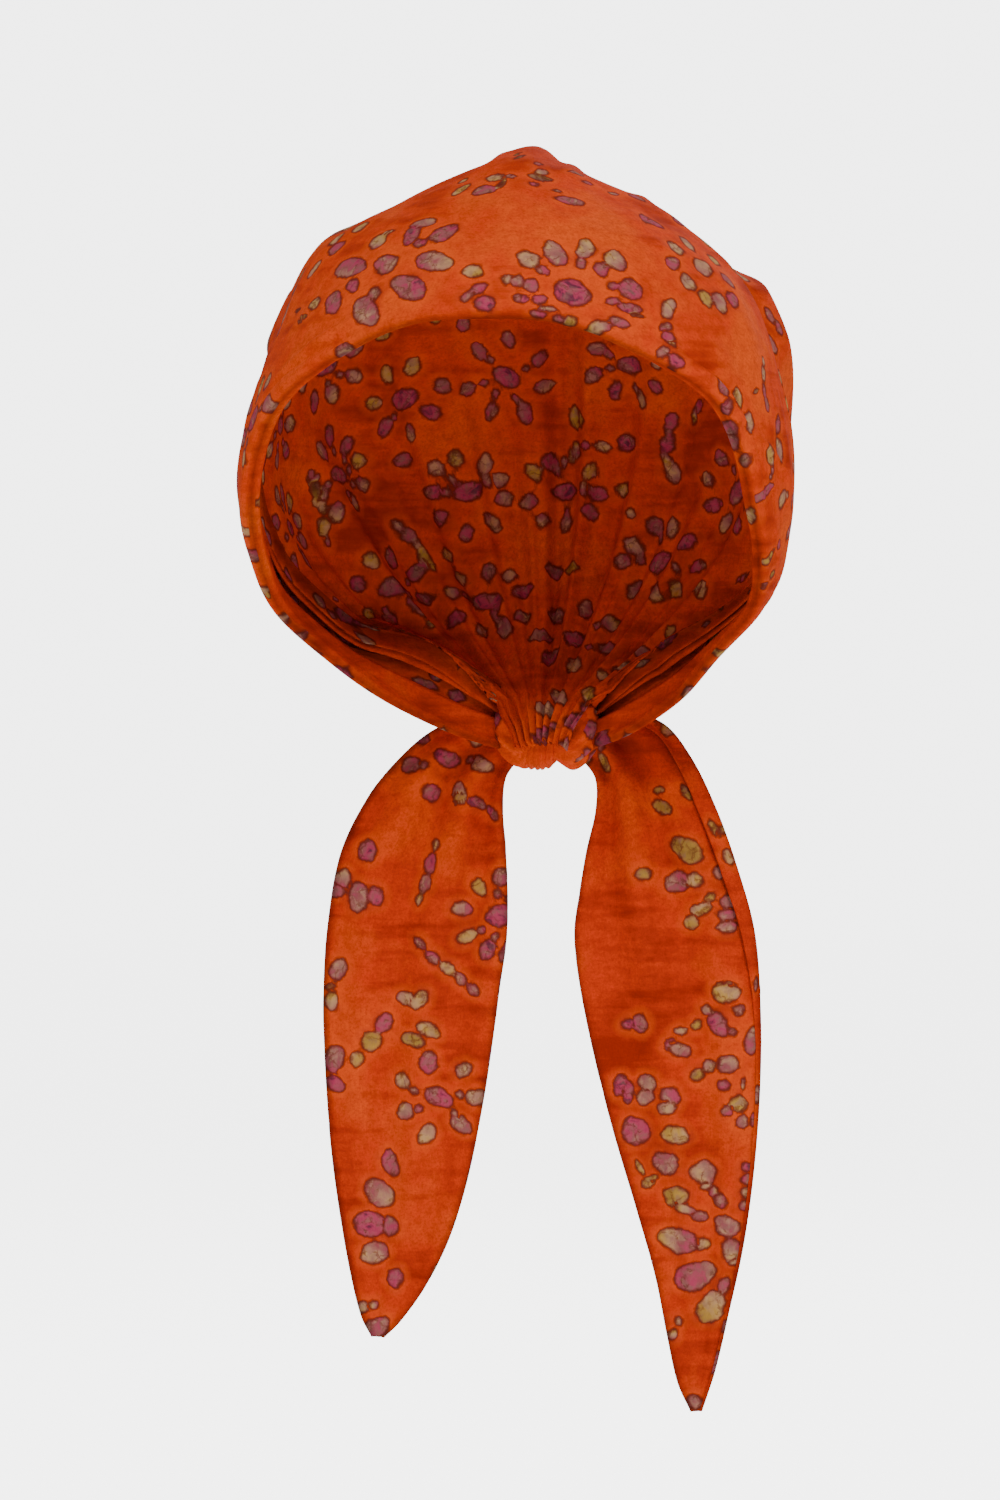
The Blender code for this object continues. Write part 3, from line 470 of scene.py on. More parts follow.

# What is printed on the cloth: petals charted one by one. x and y are where each lies in the picture's own
# pixels, long and wide its size there, angle its tilt, from and to the tints of its two ends:
# 0 violet, 0.15 pink, 0.35 mauve, 0.55 cream-mauve, 0.75 cream, 0.9 olive, 1 dark brown
chart = {
    "front left": [
        (351, 268, 31, 21, 25, 0.55, 0.2), (387, 265, 26, 17, 30, 0.4, 0.35),
        (434, 262, 39, 19, 0, 0.22, 0.78), (409, 288, 32, 23, 0, 0.4, 0.2),
        (366, 311, 26, 22, 50, 0.6, 0.25), (375, 294, 13, 10, 60, 0.5, 0.45),
        (334, 303, 24, 16, 60, 0.25, 0.4), (353, 286, 14, 12, 45, 0.25, 0.2),
        (315, 304, 15, 9, 40, 0.72, 0.68), (299, 311, 8, 5, 30, 1, 1), (305, 317, 9, 4, 0, 0.95, 1),
        (301, 322, 5, 3, 0, 1, 1), (379, 242, 21, 15, 35, 0.5, 0.9), (389, 233, 13, 4, 15, 0.7, 0.75),
        (424, 224, 26, 8, 12, 0.45, 0.62), (412, 236, 22, 13, 50, 0.12, 0.2),
        (444, 234, 31, 14, 20, 0.35, 0.2), (420, 244, 14, 8, 10, 0.2, 0.2),
        (361, 228, 19, 8, 30, 0.75, 0.78), (337, 240, 19, 8, 40, 0.7, 0.7),
        (337, 249, 21, 9, 40, 0.38, 0.35), (315, 270, 23, 5, 55, 0.65, 0.65),
        (345, 351, 19, 11, 20, 0.45, 0.42), (383, 336, 19, 6, 12, 0.82, 0.85),
        (473, 272, 22, 12, 0, 0.72, 0.85), (479, 289, 19, 9, 20, 0.2, 0.2), (467, 297, 15, 8, 30, 0.5, 0.4),
        (485, 304, 21, 15, -15, 0.12, 0.2), (495, 179, 16, 8, 5, 0.75, 0.72),
        (511, 177, 11, 4, -10, 0.5, 0.55), (502, 185, 13, 5, 50, 1, 1), (484, 191, 25, 11, 10, 0.35, 0.3),
        (461, 191, 21, 8, 30, 0.72, 0.85), (464, 182, 11, 5, 25, 0.6, 0.9), (431, 193, 15, 3, 20, 0.6, 0.6),
        (518, 155, 9, 5, 30, 1, 0.9),
    ],
    "front right": [
        (528, 260, 22, 17, -15, 0.6, 0.68), (543, 271, 14, 9, -15, 0.4, 0.35),
        (555, 254, 30, 18, -52, 0.62, 0.35), (585, 250, 21, 18, 90, 0.5, 0.82),
        (581, 264, 12, 9, 90, 0.35, 0.4), (601, 270, 17, 13, -25, 0.25, 0.25),
        (615, 261, 25, 17, -35, 0.85, 0.38), (613, 287, 12, 8, 0, 0.25, 0.25),
        (630, 289, 26, 18, -25, 0.18, 0.32), (572, 293, 38, 23, -15, 0.12, 0.2),
        (507, 280, 11, 10, 0, 0.68, 0.65), (517, 282, 13, 12, 0, 0.55, 0.5),
        (531, 286, 17, 13, -25, 0.42, 0.4), (521, 299, 18, 8, -10, 0.25, 0.28),
        (539, 300, 17, 9, -8, 0.3, 0.3), (612, 302, 15, 8, 0, 0.25, 0.28),
        (629, 309, 25, 10, -15, 0.2, 0.3), (637, 316, 16, 4, -15, 1, 1), (619, 323, 22, 10, -20, 0.3, 0.4),
        (599, 327, 22, 13, 0, 0.88, 0.4), (570, 322, 14, 9, 0, 0.92, 0.85),
        (548, 309, 19, 5, -5, 0.5, 0.55), (538, 314, 16, 6, -10, 0.22, 0.2),
        (559, 319, 12, 5, -10, 0.4, 0.4), (675, 249, 20, 11, -35, 0.55, 0.7),
        (687, 245, 20, 10, -45, 0.6, 0.62), (672, 264, 15, 12, -30, 0.35, 0.3),
        (702, 268, 23, 13, -50, 0.7, 0.48), (713, 261, 16, 10, -45, 0.78, 0.75),
        (687, 283, 20, 12, -50, 0.55, 0.68), (705, 299, 19, 11, -60, 0.82, 0.85),
        (719, 303, 22, 12, -60, 0.42, 0.7), (727, 281, 18, 9, -50, 0.45, 0.4),
        (732, 300, 18, 10, -60, 0.28, 0.3), (668, 309, 20, 14, 80, 0.55, 0.64),
        (665, 328, 12, 10, 0, 0.3, 0.3), (668, 338, 17, 11, -40, 0.28, 0.3), (672, 345, 10, 4, -40, 1, 1),
        (663, 352, 13, 10, 0, 0.5, 0.45), (676, 361, 18, 11, -40, 0.32, 0.25),
        (541, 173, 14, 6, -10, 0.65, 0.62), (538, 165, 10, 3, -5, 0.5, 0.5),
        (540, 179, 24, 7, -15, 0.95, 1), (534, 185, 10, 4, -10, 0.4, 0.3),
        (570, 202, 28, 9, -15, 0.3, 0.42), (557, 192, 9, 3, -20, 0.5, 0.5),
        (576, 174, 17, 5, -25, 0.45, 0.4), (587, 184, 12, 4, -20, 0.42, 0.4),
        (613, 195, 11, 4, -12, 0.55, 0.5), (636, 198, 18, 5, -20, 0.42, 0.45), (520, 158, 10, 6, 20, 1, 1),
    ],
    "right side": [
        (723, 387, 22, 7, -70, 0.35, 0.38), (737, 398, 23, 9, -80, 0.72, 0.8),
        (747, 423, 22, 10, -85, 0.62, 0.66), (779, 378, 17, 6, -78, 0.75, 0.78),
        (786, 404, 20, 5, 88, 0.78, 0.82), (777, 425, 19, 6, 82, 0.12, 0.25),
        (778, 450, 25, 8, -80, 0.62, 0.55), (769, 456, 21, 9, -85, 0.8, 0.76),
        (771, 473, 14, 4, 75, 0.4, 0.4), (764, 493, 26, 8, 65, 0.3, 0.25),
        (751, 515, 17, 10, 95, 0.72, 0.74), (769, 557, 20, 6, 65, 0.9, 0.85), (771, 574, 11, 6, 60, 1, 0.9),
        (764, 585, 7, 5, 60, 0.45, 0.4), (750, 591, 8, 5, 60, 0.45, 0.8), (755, 391, 8, 3, 50, 0.95, 1),
        (730, 429, 21, 13, -60, 0.3, 0.35), (733, 441, 16, 11, -70, 0.38, 0.4),
        (745, 460, 14, 10, -80, 0.48, 0.55), (726, 408, 13, 9, -60, 0.12, 0.2),
        (743, 578, 15, 5, 75, 0.3, 0.35), (778, 544, 11, 3, 80, 0.4, 0.4),
    ],
    "fold edge": [
        (769, 316, 18, 6, -65, 0.42, 0.45), (778, 328, 15, 6, -70, 0.35, 0.3),
        (771, 345, 22, 7, -68, 0.5, 0.6),
    ],
    "right tie": [
        (687, 850, 35, 24, -30, 0.93, 0.9), (663, 807, 23, 12, -25, 0.93, 0.9),
        (686, 793, 19, 8, -50, 0.93, 0.9), (660, 790, 11, 7, 0, 0.9, 0.9), (643, 874, 16, 13, 0, 0.92, 0.9),
        (678, 882, 25, 22, 0, 0.5, 0.2), (695, 880, 16, 14, 60, 0.75, 0.78),
        (720, 872, 15, 14, 40, 0.6, 0.4), (715, 829, 20, 8, -60, 0.85, 0.82),
        (725, 831, 11, 5, -60, 0.85, 0.85), (728, 857, 18, 9, -65, 0.76, 0.78),
        (710, 898, 13, 8, 40, 0.88, 0.85), (701, 909, 24, 11, 10, 0.72, 0.85),
        (692, 922, 16, 14, 0, 0.86, 0.84), (728, 902, 16, 14, 0, 0.4, 0.5),
        (727, 915, 21, 12, 0, 0.38, 0.45), (727, 927, 21, 12, 10, 0.6, 0.42),
        (726, 993, 28, 21, -10, 0.84, 0.7), (727, 983, 21, 4, 0, 1, 1), (739, 1010, 11, 10, 90, 0.4, 0.45),
        (707, 1010, 12, 10, -40, 0.66, 0.62), (718, 1024, 26, 19, -50, 0.2, 0.3),
        (697, 1025, 10, 10, 0, 0.86, 0.86), (732, 1032, 8, 8, 90, 0.3, 0.3),
        (640, 1023, 20, 17, 90, 0.28, 0.36), (628, 1024, 13, 10, 0, 0.1, 0.1),
        (680, 1031, 13, 8, 0, 0.66, 0.7), (671, 1045, 13, 11, 90, 0.2, 0.25),
        (680, 1050, 20, 14, -20, 0.6, 0.42), (752, 1041, 27, 16, 85, 0.34, 0.48),
        (710, 1066, 13, 12, 0, 0.5, 0.55), (728, 1064, 21, 19, 0, 0.28, 0.62),
        (756, 984, 13, 5, 85, 0.45, 0.4), (697, 1075, 13, 12, 0, 0.92, 0.88),
    ],
    "right tie, low": [
        (620, 1085, 21, 14, 85, 0.03, 0.06), (628, 1093, 22, 11, 85, 0.15, 0.2),
        (648, 1083, 20, 17, -20, 0.5, 0.58), (646, 1097, 18, 15, 0, 0.62, 0.5),
        (670, 1096, 20, 19, 0, 0.25, 0.34), (667, 1108, 19, 14, 10, 0.6, 0.66),
        (724, 1085, 14, 11, 0, 0.1, 0.15), (743, 1083, 14, 4, 85, 0.9, 0.3),
        (738, 1104, 18, 17, 0, 0.9, 0.72), (727, 1111, 11, 11, 90, 0.42, 0.45),
        (742, 1122, 15, 11, 85, 0.45, 0.5), (757, 1095, 17, 8, 88, 0.42, 0.4),
        (753, 1120, 14, 6, 88, 0.3, 0.3), (636, 1131, 28, 27, -20, 0.12, 0.36),
        (675, 1135, 30, 18, 0, 0.86, 0.72), (666, 1163, 26, 23, -30, 0.35, 0.52),
        (640, 1168, 17, 6, -60, 0.8, 0.84), (648, 1183, 13, 9, 0, 0.75, 0.9),
        (652, 1178, 14, 4, 15, 0.9, 0.9), (704, 1172, 25, 24, 0, 0.7, 0.46),
        (706, 1186, 12, 5, 0, 0.66, 0.6), (714, 1192, 10, 9, 0, 0.18, 0.95),
        (721, 1201, 14, 13, 90, 0.35, 0.4), (747, 1167, 11, 10, 0, 0.3, 0.2),
        (747, 1179, 11, 11, 0, 0.12, 0.95), (746, 1193, 11, 11, 90, 0.66, 0.62),
        (745, 1206, 11, 11, 0, 0.42, 0.4), (676, 1197, 27, 21, -20, 0.93, 0.8),
        (685, 1209, 23, 10, -20, 1, 0.35), (700, 1216, 15, 11, -20, 0.4, 0.42),
        (727, 1226, 26, 21, -10, 0.42, 0.56), (732, 1250, 22, 20, 90, 0.8, 0.36),
        (733, 1262, 12, 6, 0, 0.6, 0.62), (703, 1244, 16, 11, 0, 0.62, 0.8),
        (678, 1240, 39, 25, -15, 0.85, 0.22), (695, 1276, 47, 26, 25, 0.14, 0.62),
        (724, 1286, 19, 10, 75, 0.4, 0.42), (711, 1307, 34, 27, 60, 0.95, 0.62),
        (679, 1321, 9, 8, 0, 0.8, 0.5), (673, 1334, 11, 9, 80, 0.45, 1),
        (695, 1402, 17, 14, -50, 0.42, 0.5), (726, 1326, 12, 5, 75, 0.45, 0.45),
    ],
    "left tie": [
        (368, 851, 23, 18, 80, 0.2, 0.25), (342, 881, 25, 18, 70, 0.42, 0.66),
        (337, 891, 17, 13, 0, 0.4, 0.4), (359, 897, 31, 19, 85, 0.5, 0.36),
        (375, 896, 19, 13, 85, 0.25, 0.3), (339, 969, 25, 17, 60, 0.36, 0.55),
        (332, 1001, 19, 15, 90, 0.6, 0.92), (331, 986, 10, 7, 0, 1, 1), (384, 1023, 20, 17, 60, 0.36, 0.3),
        (371, 1041, 20, 19, 0, 0.93, 0.86), (357, 1059, 16, 12, 60, 0.84, 0.8),
        (335, 1059, 29, 20, 80, 0.3, 0.42), (336, 1084, 19, 15, -30, 0.15, 0.4),
        (391, 1163, 27, 17, -75, 0.28, 0.32), (380, 1193, 35, 22, -40, 0.34, 0.7),
        (370, 1224, 34, 25, 0, 0.2, 0.3), (391, 1226, 20, 17, 90, 0.26, 0.3),
        (375, 1253, 27, 22, 20, 0.7, 0.4), (395, 1278, 20, 14, 90, 0.2, 0.2),
        (363, 1307, 14, 12, 0, 0.6, 0.6), (374, 1305, 10, 9, 0, 1, 0.2), (377, 1327, 27, 19, 30, 0.36, 0.4),
    ],
}
# parts of the picture where the ties aren't seen: y, from x, to x
unseen = [(700, 371, 662), (820, 371, 644), (900, 381, 630), (1027, 391, 618), (1110, 396, 611),
          (1170, 397, 611), (1300, 398, 611)]
# pixel is pixels to a millimetre, stretch the most that a petal lengthens on cloth seen edge on, grazing how
# steeply such cloth is still met, reach how far a petal prints through, line the outline's width
batik = {"pixel": 3.1, "stretch": 1.9, "grazing": 0.12, "reach": 2.6, "wobble": (0.055, 0.045, 0.025),
         "line": 0.42, "seed": 11}
eye = np.array(view["place"])
ahead = unit(np.array(view["aim"]) - eye)
rightward = unit(np.cross(ahead, [0.0, 0.0, 1.0]))
upward = np.cross(rightward, ahead)


def sightLine(x, y):
    x, y = (x - view["middle"][0]) / view["focal"], (view["middle"][1] - y) / view["focal"]
    return unit(ahead + rightward * x + upward * y)


def inPicture(points):
    away = points - eye
    depth = away @ ahead
    return np.stack([view["middle"][0] + view["focal"] * (away @ rightward) / depth,
                     view["middle"][1] - view["focal"] * (away @ upward) / depth], axis=1)


def gridNormals(grid, flip):
    along, across = np.gradient(grid, axis=0), np.gradient(grid, axis=1)
    return unit(np.cross(along, across)) * (-1.0 if flip else 1.0)


def gridTree(grid):
    n, m = grid.shape[:2]
    index = np.arange(n * m).reshape(n, m)
    quads = np.stack([index[:-1, :-1], index[:-1, 1:], index[1:, 1:], index[1:, :-1]], axis=-1).reshape(-1, 4)
    return BVHTree.FromPolygons(grid.reshape(-1, 3).tolist(), quads.tolist()), quads


def chartedPetals(pieces):
    # each charted petal, laid on the first cloth that its line of sight meets
    made = {name: [] for name in pieces}
    missed = 0
    for rows in chart.values():
        for x, y, long, wide, angle, tintFrom, tintTo in rows:
            hits = []
            for name, piece in pieces.items():
                place, _, face, distance = piece["tree"].ray_cast(Vector(eye), Vector(sightLine(x, y)))
                if place is not None:
                    hits.append((distance, name, np.array(place), face))
            if not hits:
                missed += 1
                continue
            distance, name, place, face = min(hits, key=lambda hit: hit[0])
            corners = pieces[name]["quads"][face]
            place = place + (pieces[name]["points"][corners] - pieces[name]["folded"][corners]).mean(axis=0)
            outward = unit(pieces[name]["normals"][corners].mean(axis=0))
            normal = -outward if outward @ sightLine(x, y) > 0.0 else outward
            turn, axes = math.radians(angle), []
            ways = ((long / 2, math.cos(turn), math.sin(turn)), (wide / 2, -math.sin(turn), math.cos(turn)))
            for half, c, s in ways:
                line = sightLine(x + half * c, y - half * s)
                across = line * ((place - eye) @ normal) / min(line @ normal, -batik["grazing"]) + eye - place
                across -= normal * (across @ normal)
                most = batik["stretch"] * half / batik["pixel"]
                axes.append(across * min(1.0, most / max(np.linalg.norm(across), 1e-6)))
            made[name].append((place, outward, axes[0], axes[1], tintFrom, tintTo))
    print("petals charted:", sum(map(len, made.values())), "missed:", missed)
    return made


# Where the picture shows nothing, the print goes on in the same way: flowers of petals round a middle,
# strings of small petals and stray drops. Each is (east, north, long, wide, angle, from, to), in millimetres
flower = {"middleLong": (7.5, 11), "middleWide": (5.5, 7), "ring": (11.5, 13.5), "long": (6, 8.2),
          "wide": (4.2, 5.6), "beadShare": 0.45, "beadRing": 7.6, "beadLong": 3.2, "beadWide": 2.5}


def strewnFlower(rng):
    turn, petals = rng.uniform(0, 360), []
    warm = rng.random()
    petals.append((0, 0, rng.uniform(*flower["middleLong"]), rng.uniform(*flower["middleWide"]),
                   rng.uniform(-30, 30), 0.12, 0.3))
    count = rng.choice((7, 8, 9))
    for i in range(count):
        a = math.radians(turn + 360 * i / count + rng.uniform(-6, 6))
        far = rng.uniform(*flower["ring"])
        tint = rng.choice((0.55, 0.65, 0.78) if rng.random() < 0.35 + 0.4 * warm else (0.15, 0.3, 0.4))
        petals.append((far * math.cos(a), far * math.sin(a), rng.uniform(*flower["long"]),
                       rng.uniform(*flower["wide"]), math.degrees(a) + rng.uniform(-15, 15),
                       0.3 if rng.random() < 0.5 else tint, tint + 0.08))
        if rng.random() < flower["beadShare"]:
            east, north = flower["beadRing"] * math.cos(a + 0.1), flower["beadRing"] * math.sin(a + 0.1)
            petals.append((east, north, flower["beadLong"], flower["beadWide"], math.degrees(a), 0.35, 0.45))
    return petals


def strewnString(rng):
    heading, bend, east, north, petals = rng.uniform(0, 360), rng.uniform(-22, 22), 0.0, 0.0, []
    for i in range(rng.choice((3, 4, 5))):
        long = rng.uniform(3.6, 7.4)
        east += 0.5 * long * math.cos(math.radians(heading))
        north += 0.5 * long * math.sin(math.radians(heading))
        tint = rng.choice((0.2, 0.35, 0.5, 0.65, 0.78, 0.92))
        wide, tintTo = long * rng.uniform(0.55, 0.78), tint + rng.uniform(-0.15, 0.15)
        petals.append((east, north, long, wide, heading, tint, tintTo))
        east += (0.5 * long + 0.5) * math.cos(math.radians(heading))
        north += (0.5 * long + 0.5) * math.sin(math.radians(heading))
        heading += bend
    return petals


def strewnDrops(rng):
    tint = rng.choice((0.3, 0.72, 0.88))
    return [(rng.uniform(-4, 4), rng.uniform(-4, 4), rng.uniform(4, 9), rng.uniform(3, 5),
             rng.uniform(0, 180), tint, tint + rng.uniform(-0.2, 0.1)) for _ in range(rng.choice((1, 2, 2)))]


# kinds are what is strewn, in this order, and the free radius that each needs. every is how many of the
# cloth's points are passed over, facing how squarely the camera has to see a point for it to count as seen
strewing = {"kinds": ((strewnFlower, 17.0), (strewnString, 11.0), (strewnString, 9.5), (strewnDrops, 7.0)),
            "every": 7, "facing": -0.30, "room": 5.0, "overlap": 0.92, "offCloth": 4.0, "sameWay": 0.3}


def strewnPetals(piece, charted, rng):
    # flowers in the free places first, then strings, then drops, kept clear of what is charted
    points, normals = piece["points"], piece["normals"]
    tree = KDTree(len(points))
    for i, point in enumerate(points):
        tree.insert(point, i)
    tree.balance()
    taken = [(place, 0.5 * np.linalg.norm(a) + strewing["room"]) for place, _, a, _, _, _ in charted]
    seen = (unit(points - eye) * normals).sum(axis=1) < strewing["facing"]
    x, y = inPicture(points).T
    rows = np.array(unseen)
    hidden = (x > np.interp(y, rows[:, 0], rows[:, 1])) & (x < np.interp(y, rows[:, 0], rows[:, 2]))
    seen &= ~(hidden & (y > rows[0, 0]))
    order = list(range(0, len(points), strewing["every"]))
    rng.shuffle(order)
    made = []
    for kind, radius in strewing["kinds"]:
        for i in order:
            if seen[i] and piece["charted"]:
                continue
            if any(((points[i] - place) ** 2).sum() < (radius + room) ** 2 for place, room in taken):
                continue
            taken.append((points[i], radius * strewing["overlap"]))
            normal = normals[i]
            east = unit(np.cross([0.0, 0.3, 1.0], normal))
            north = np.cross(normal, east)
            for x, y, long, wide, angle, tintFrom, tintTo in kind(rng):
                _, near, off = tree.find(points[i] + east * x + north * y)
                if off > strewing["offCloth"] or normals[near] @ normal < strewing["sameWay"]:
                    continue
                outward, turn = normals[near], math.radians(angle)
                a = (east * math.cos(turn) + north * math.sin(turn)) * long / 2
                b = (north * math.cos(turn) - east * math.sin(turn)) * wide / 2
                a, b = a - outward * (a @ outward), b - outward * (b @ outward)
                made.append((points[near], outward, a, b, tintFrom, tintTo))
    return made


def paint(piece, petals, rng):
    # the signed distance to the nearest petal's edge and its tint, at each point of the cloth
    points, normals = piece["points"], piece["normals"]
    edge, tint = np.full(len(points), 20.0), np.full(len(points), 0.35)
    for place, normal, a, b, tintFrom, tintTo in petals:
        reach = 1.5 * max(np.linalg.norm(a), np.linalg.norm(b)) + 5.0
        near = np.nonzero((abs(points - place) < reach).all(axis=1))[0]
        d = points[near] - place
        off = d @ normal
        keep = (abs(off) < batik["reach"]) & (normals[near] @ normal > 0.05)
        near, d = near[keep], d[keep] - off[keep][:, None] * normal
        aa, ab, bb = a @ a, a @ b, b @ b
        det = max(aa * bb - ab * ab, 1e-6)
        da, db = d @ a, d @ b
        u, v = (da * bb - db * ab) / det, (db * aa - da * ab) / det
        r, theta = np.hypot(u, v), np.arctan2(v, u)
        rim = 1.0
        for wave, size in zip((2, 3, 5), batik["wobble"]):
            rim = rim + size * np.cos(wave * theta + rng.uniform(0, math.tau))
        size = np.where(r > 0.1, np.linalg.norm(d, axis=1) / np.maximum(r, 0.1),
                        0.5 * (math.sqrt(aa) + math.sqrt(bb)))
        gap = (r - rim) * size
        over = (gap < edge[near]) | (gap < batik["line"])
        edge[near[over]] = gap[over]
        shade = tintFrom + (tintTo - tintFrom) * np.clip(0.5 + 0.5 * u, 0, 1) + rng.uniform(-0.06, 0.06) * v
        tint[near[over]] = np.clip(shade, 0.0, 1.0)[over]
    return edge, tint


# Materials
def linear(red, green, blue):
    return tuple(((c / 255 + 0.055) / 1.055) ** 2.4 if c > 10 else c / 3295
                 for c in (red, green, blue)) + (1.0,)


def setInputs(tree, node, inputs):
    for name, value in inputs.items():
        if isinstance(value, bpy.types.NodeSocket):
            tree.links.new(value, node.inputs[name])
        else:
            node.inputs[name].default_value = value


def put(tree, kind, inputs=None, **settings):
    made = tree.nodes.new(kind)
    for name, value in settings.items():
        setattr(made, name, value)  # a group's tree gives it its sockets, so this comes first
    setInputs(tree, made, inputs or {})
    return made


def sums(tree, operation, *values):
    return put(tree, "ShaderNodeMath", dict(enumerate(values)), operation=operation).outputs[0]


def noise(tree, place, scale, detail, **more):
    inputs = {"Vector": place, "Scale": scale, "Detail": detail, **more}
    return put(tree, "ShaderNodeTexNoise", inputs).outputs


def mask(tree, value, start, end):
    # 0 where the value is start or beyond, 1 where it is end or beyond
    return put(tree, "ShaderNodeMapRange", {"Value": value, "From Min": start, "From Max": end}).outputs[0]


def blendColours(tree, share, first, second, kind="MIX"):
    made = put(tree, "ShaderNodeMix", data_type="RGBA", blend_type=kind)
    setInputs(tree, made, dict(zip((0, 6, 7), (share, first, second))))  # the colour sockets of a Mix node
    return made.outputs[2]


def overlaid(tree, colour, layers):
    # each layer is where it lies, its strength and its colour
    for where, strength, shade in layers:
        colour = blendColours(tree, sums(tree, "MULTIPLY", where, strength), colour, shade)
    return colour


def rampNode(tree, value, stops):
    ramp = put(tree, "ShaderNodeValToRGB", {"Fac": value})
    points = ramp.color_ramp.elements
    while len(points) < len(stops):
        points.new(0.5)
    for point, (place, colour) in zip(points, stops):
        point.position, point.color = place, colour
    return ramp.outputs["Color"]


def shifted(tree, place, colour, size):
    shift = put(tree, "ShaderNodeVectorMath", {0: colour, 3: size}, operation="SCALE").outputs[0]
    return put(tree, "ShaderNodeVectorMath", {0: place, 1: shift}, operation="ADD").outputs[0]


def shaderGroup(name, inputs, outputs):
    group = bpy.data.node_groups.new(name, "ShaderNodeTree")
    for label, kind, value in inputs:
        socket = group.interface.new_socket(label, in_out="INPUT", socket_type=kind)
        socket.default_value = value
    for label, kind in outputs:
        group.interface.new_socket(label, in_out="OUTPUT", socket_type=kind)
    return group, group.nodes.new("NodeGroupInput").outputs, group.nodes.new("NodeGroupOutput").inputs


dye = {"ground": linear(215, 64, 21), "deep": linear(150, 38, 16), "bright": linear(226, 86, 26),
       "tieGround": linear(204, 54, 16), "tieDeep": linear(136, 32, 16), "tieBright": linear(222, 76, 22),
       "line": linear(92, 32, 24), "halo": linear(226, 80, 24), "wash": linear(134, 92, 84),
       "rim": linear(156, 50, 56), "crept": linear(140, 38, 34)}
petalTints = [(0.0, linear(104, 42, 62)), (0.12, linear(166, 56, 84)), (0.25, linear(168, 68, 88)),
              (0.38, linear(148, 78, 80)), (0.55, linear(168, 116, 98)), (0.72, linear(186, 142, 98)),
              (0.84, linear(178, 134, 62)), (0.93, linear(150, 112, 52)), (1.0, linear(104, 58, 34))]

# How large each unevenness of the dye is, as a noise scale, and how much of it shows
mottle = {"clouds": 24.0, "streaks": 30.0, "level": (1.0, 1.0, 7.0), "flecks": 300.0, "grain": 1100.0,
          "lightShare": 0.75, "darkShare": 0.70, "fleckShare": 0.36, "grainShare": 0.40}


def mottledGround():
    # orange dye that has taken unevenly: clouds, faint level streaks, small flecks and a fine grain
    group, given, out = shaderGroup(
        "Mottled dye",
        [("Ground", "NodeSocketColor", dye["ground"]), ("Deep", "NodeSocketColor", dye["deep"]),
         ("Bright", "NodeSocketColor", dye["bright"]), ("Amount", "NodeSocketFloat", 1.0)],
        [("Color", "NodeSocketColor"), ("Cloud", "NodeSocketFloat"), ("Streak", "NodeSocketFloat")])
    place = put(group, "ShaderNodeTexCoord").outputs["Object"]
    level = put(group, "ShaderNodeMapping", {"Vector": place, "Scale": mottle["level"]}).outputs[0]
    clouds = noise(group, place, mottle["clouds"], 4.0, Roughness=0.55)["Fac"]
    streaks = noise(group, level, mottle["streaks"], 3.0)["Fac"]
    flecks = noise(group, place, mottle["flecks"], 3.0)["Fac"]
    grain = noise(group, place, mottle["grain"], 3.0, Roughness=0.7)["Fac"]
    both = sums(group, "MULTIPLY_ADD", streaks, 0.45, sums(group, "MULTIPLY", clouds, 0.55))
    lightest, darkest = (sums(group, "MULTIPLY", given["Amount"], mottle[share])
                         for share in ("lightShare", "darkShare"))
    colour = overlaid(group, given["Ground"], [
        (mask(group, clouds, 0.49, 0.36), lightest, given["Bright"]),
        (mask(group, both, 0.49, 0.62), darkest, given["Deep"]),
        (mask(group, flecks, 0.4, 0.75), mottle["fleckShare"], given["Deep"]),
        (mask(group, grain, 0.42, 0.66), mottle["grainShare"], given["Deep"])])
    for label, value in (("Color", colour), ("Cloud", clouds), ("Streak", streaks)):
        group.links.new(value, out[label])
    return group


# The scales of the noises in the print, how ragged its edges are in millimetres, and how much of each shows
petalLook = {"rough": 400.0, "patch": 250.0, "faded": 330.0, "cells": 240.0, "crept": 95.0, "ragged": 1.9,
             "crackShift": 0.004, "washShare": 0.55, "rimShare": 0.40, "crackShare": 0.62,
             "haloShare": 0.50, "creptShare": 0.62, "lineShare": 0.82}


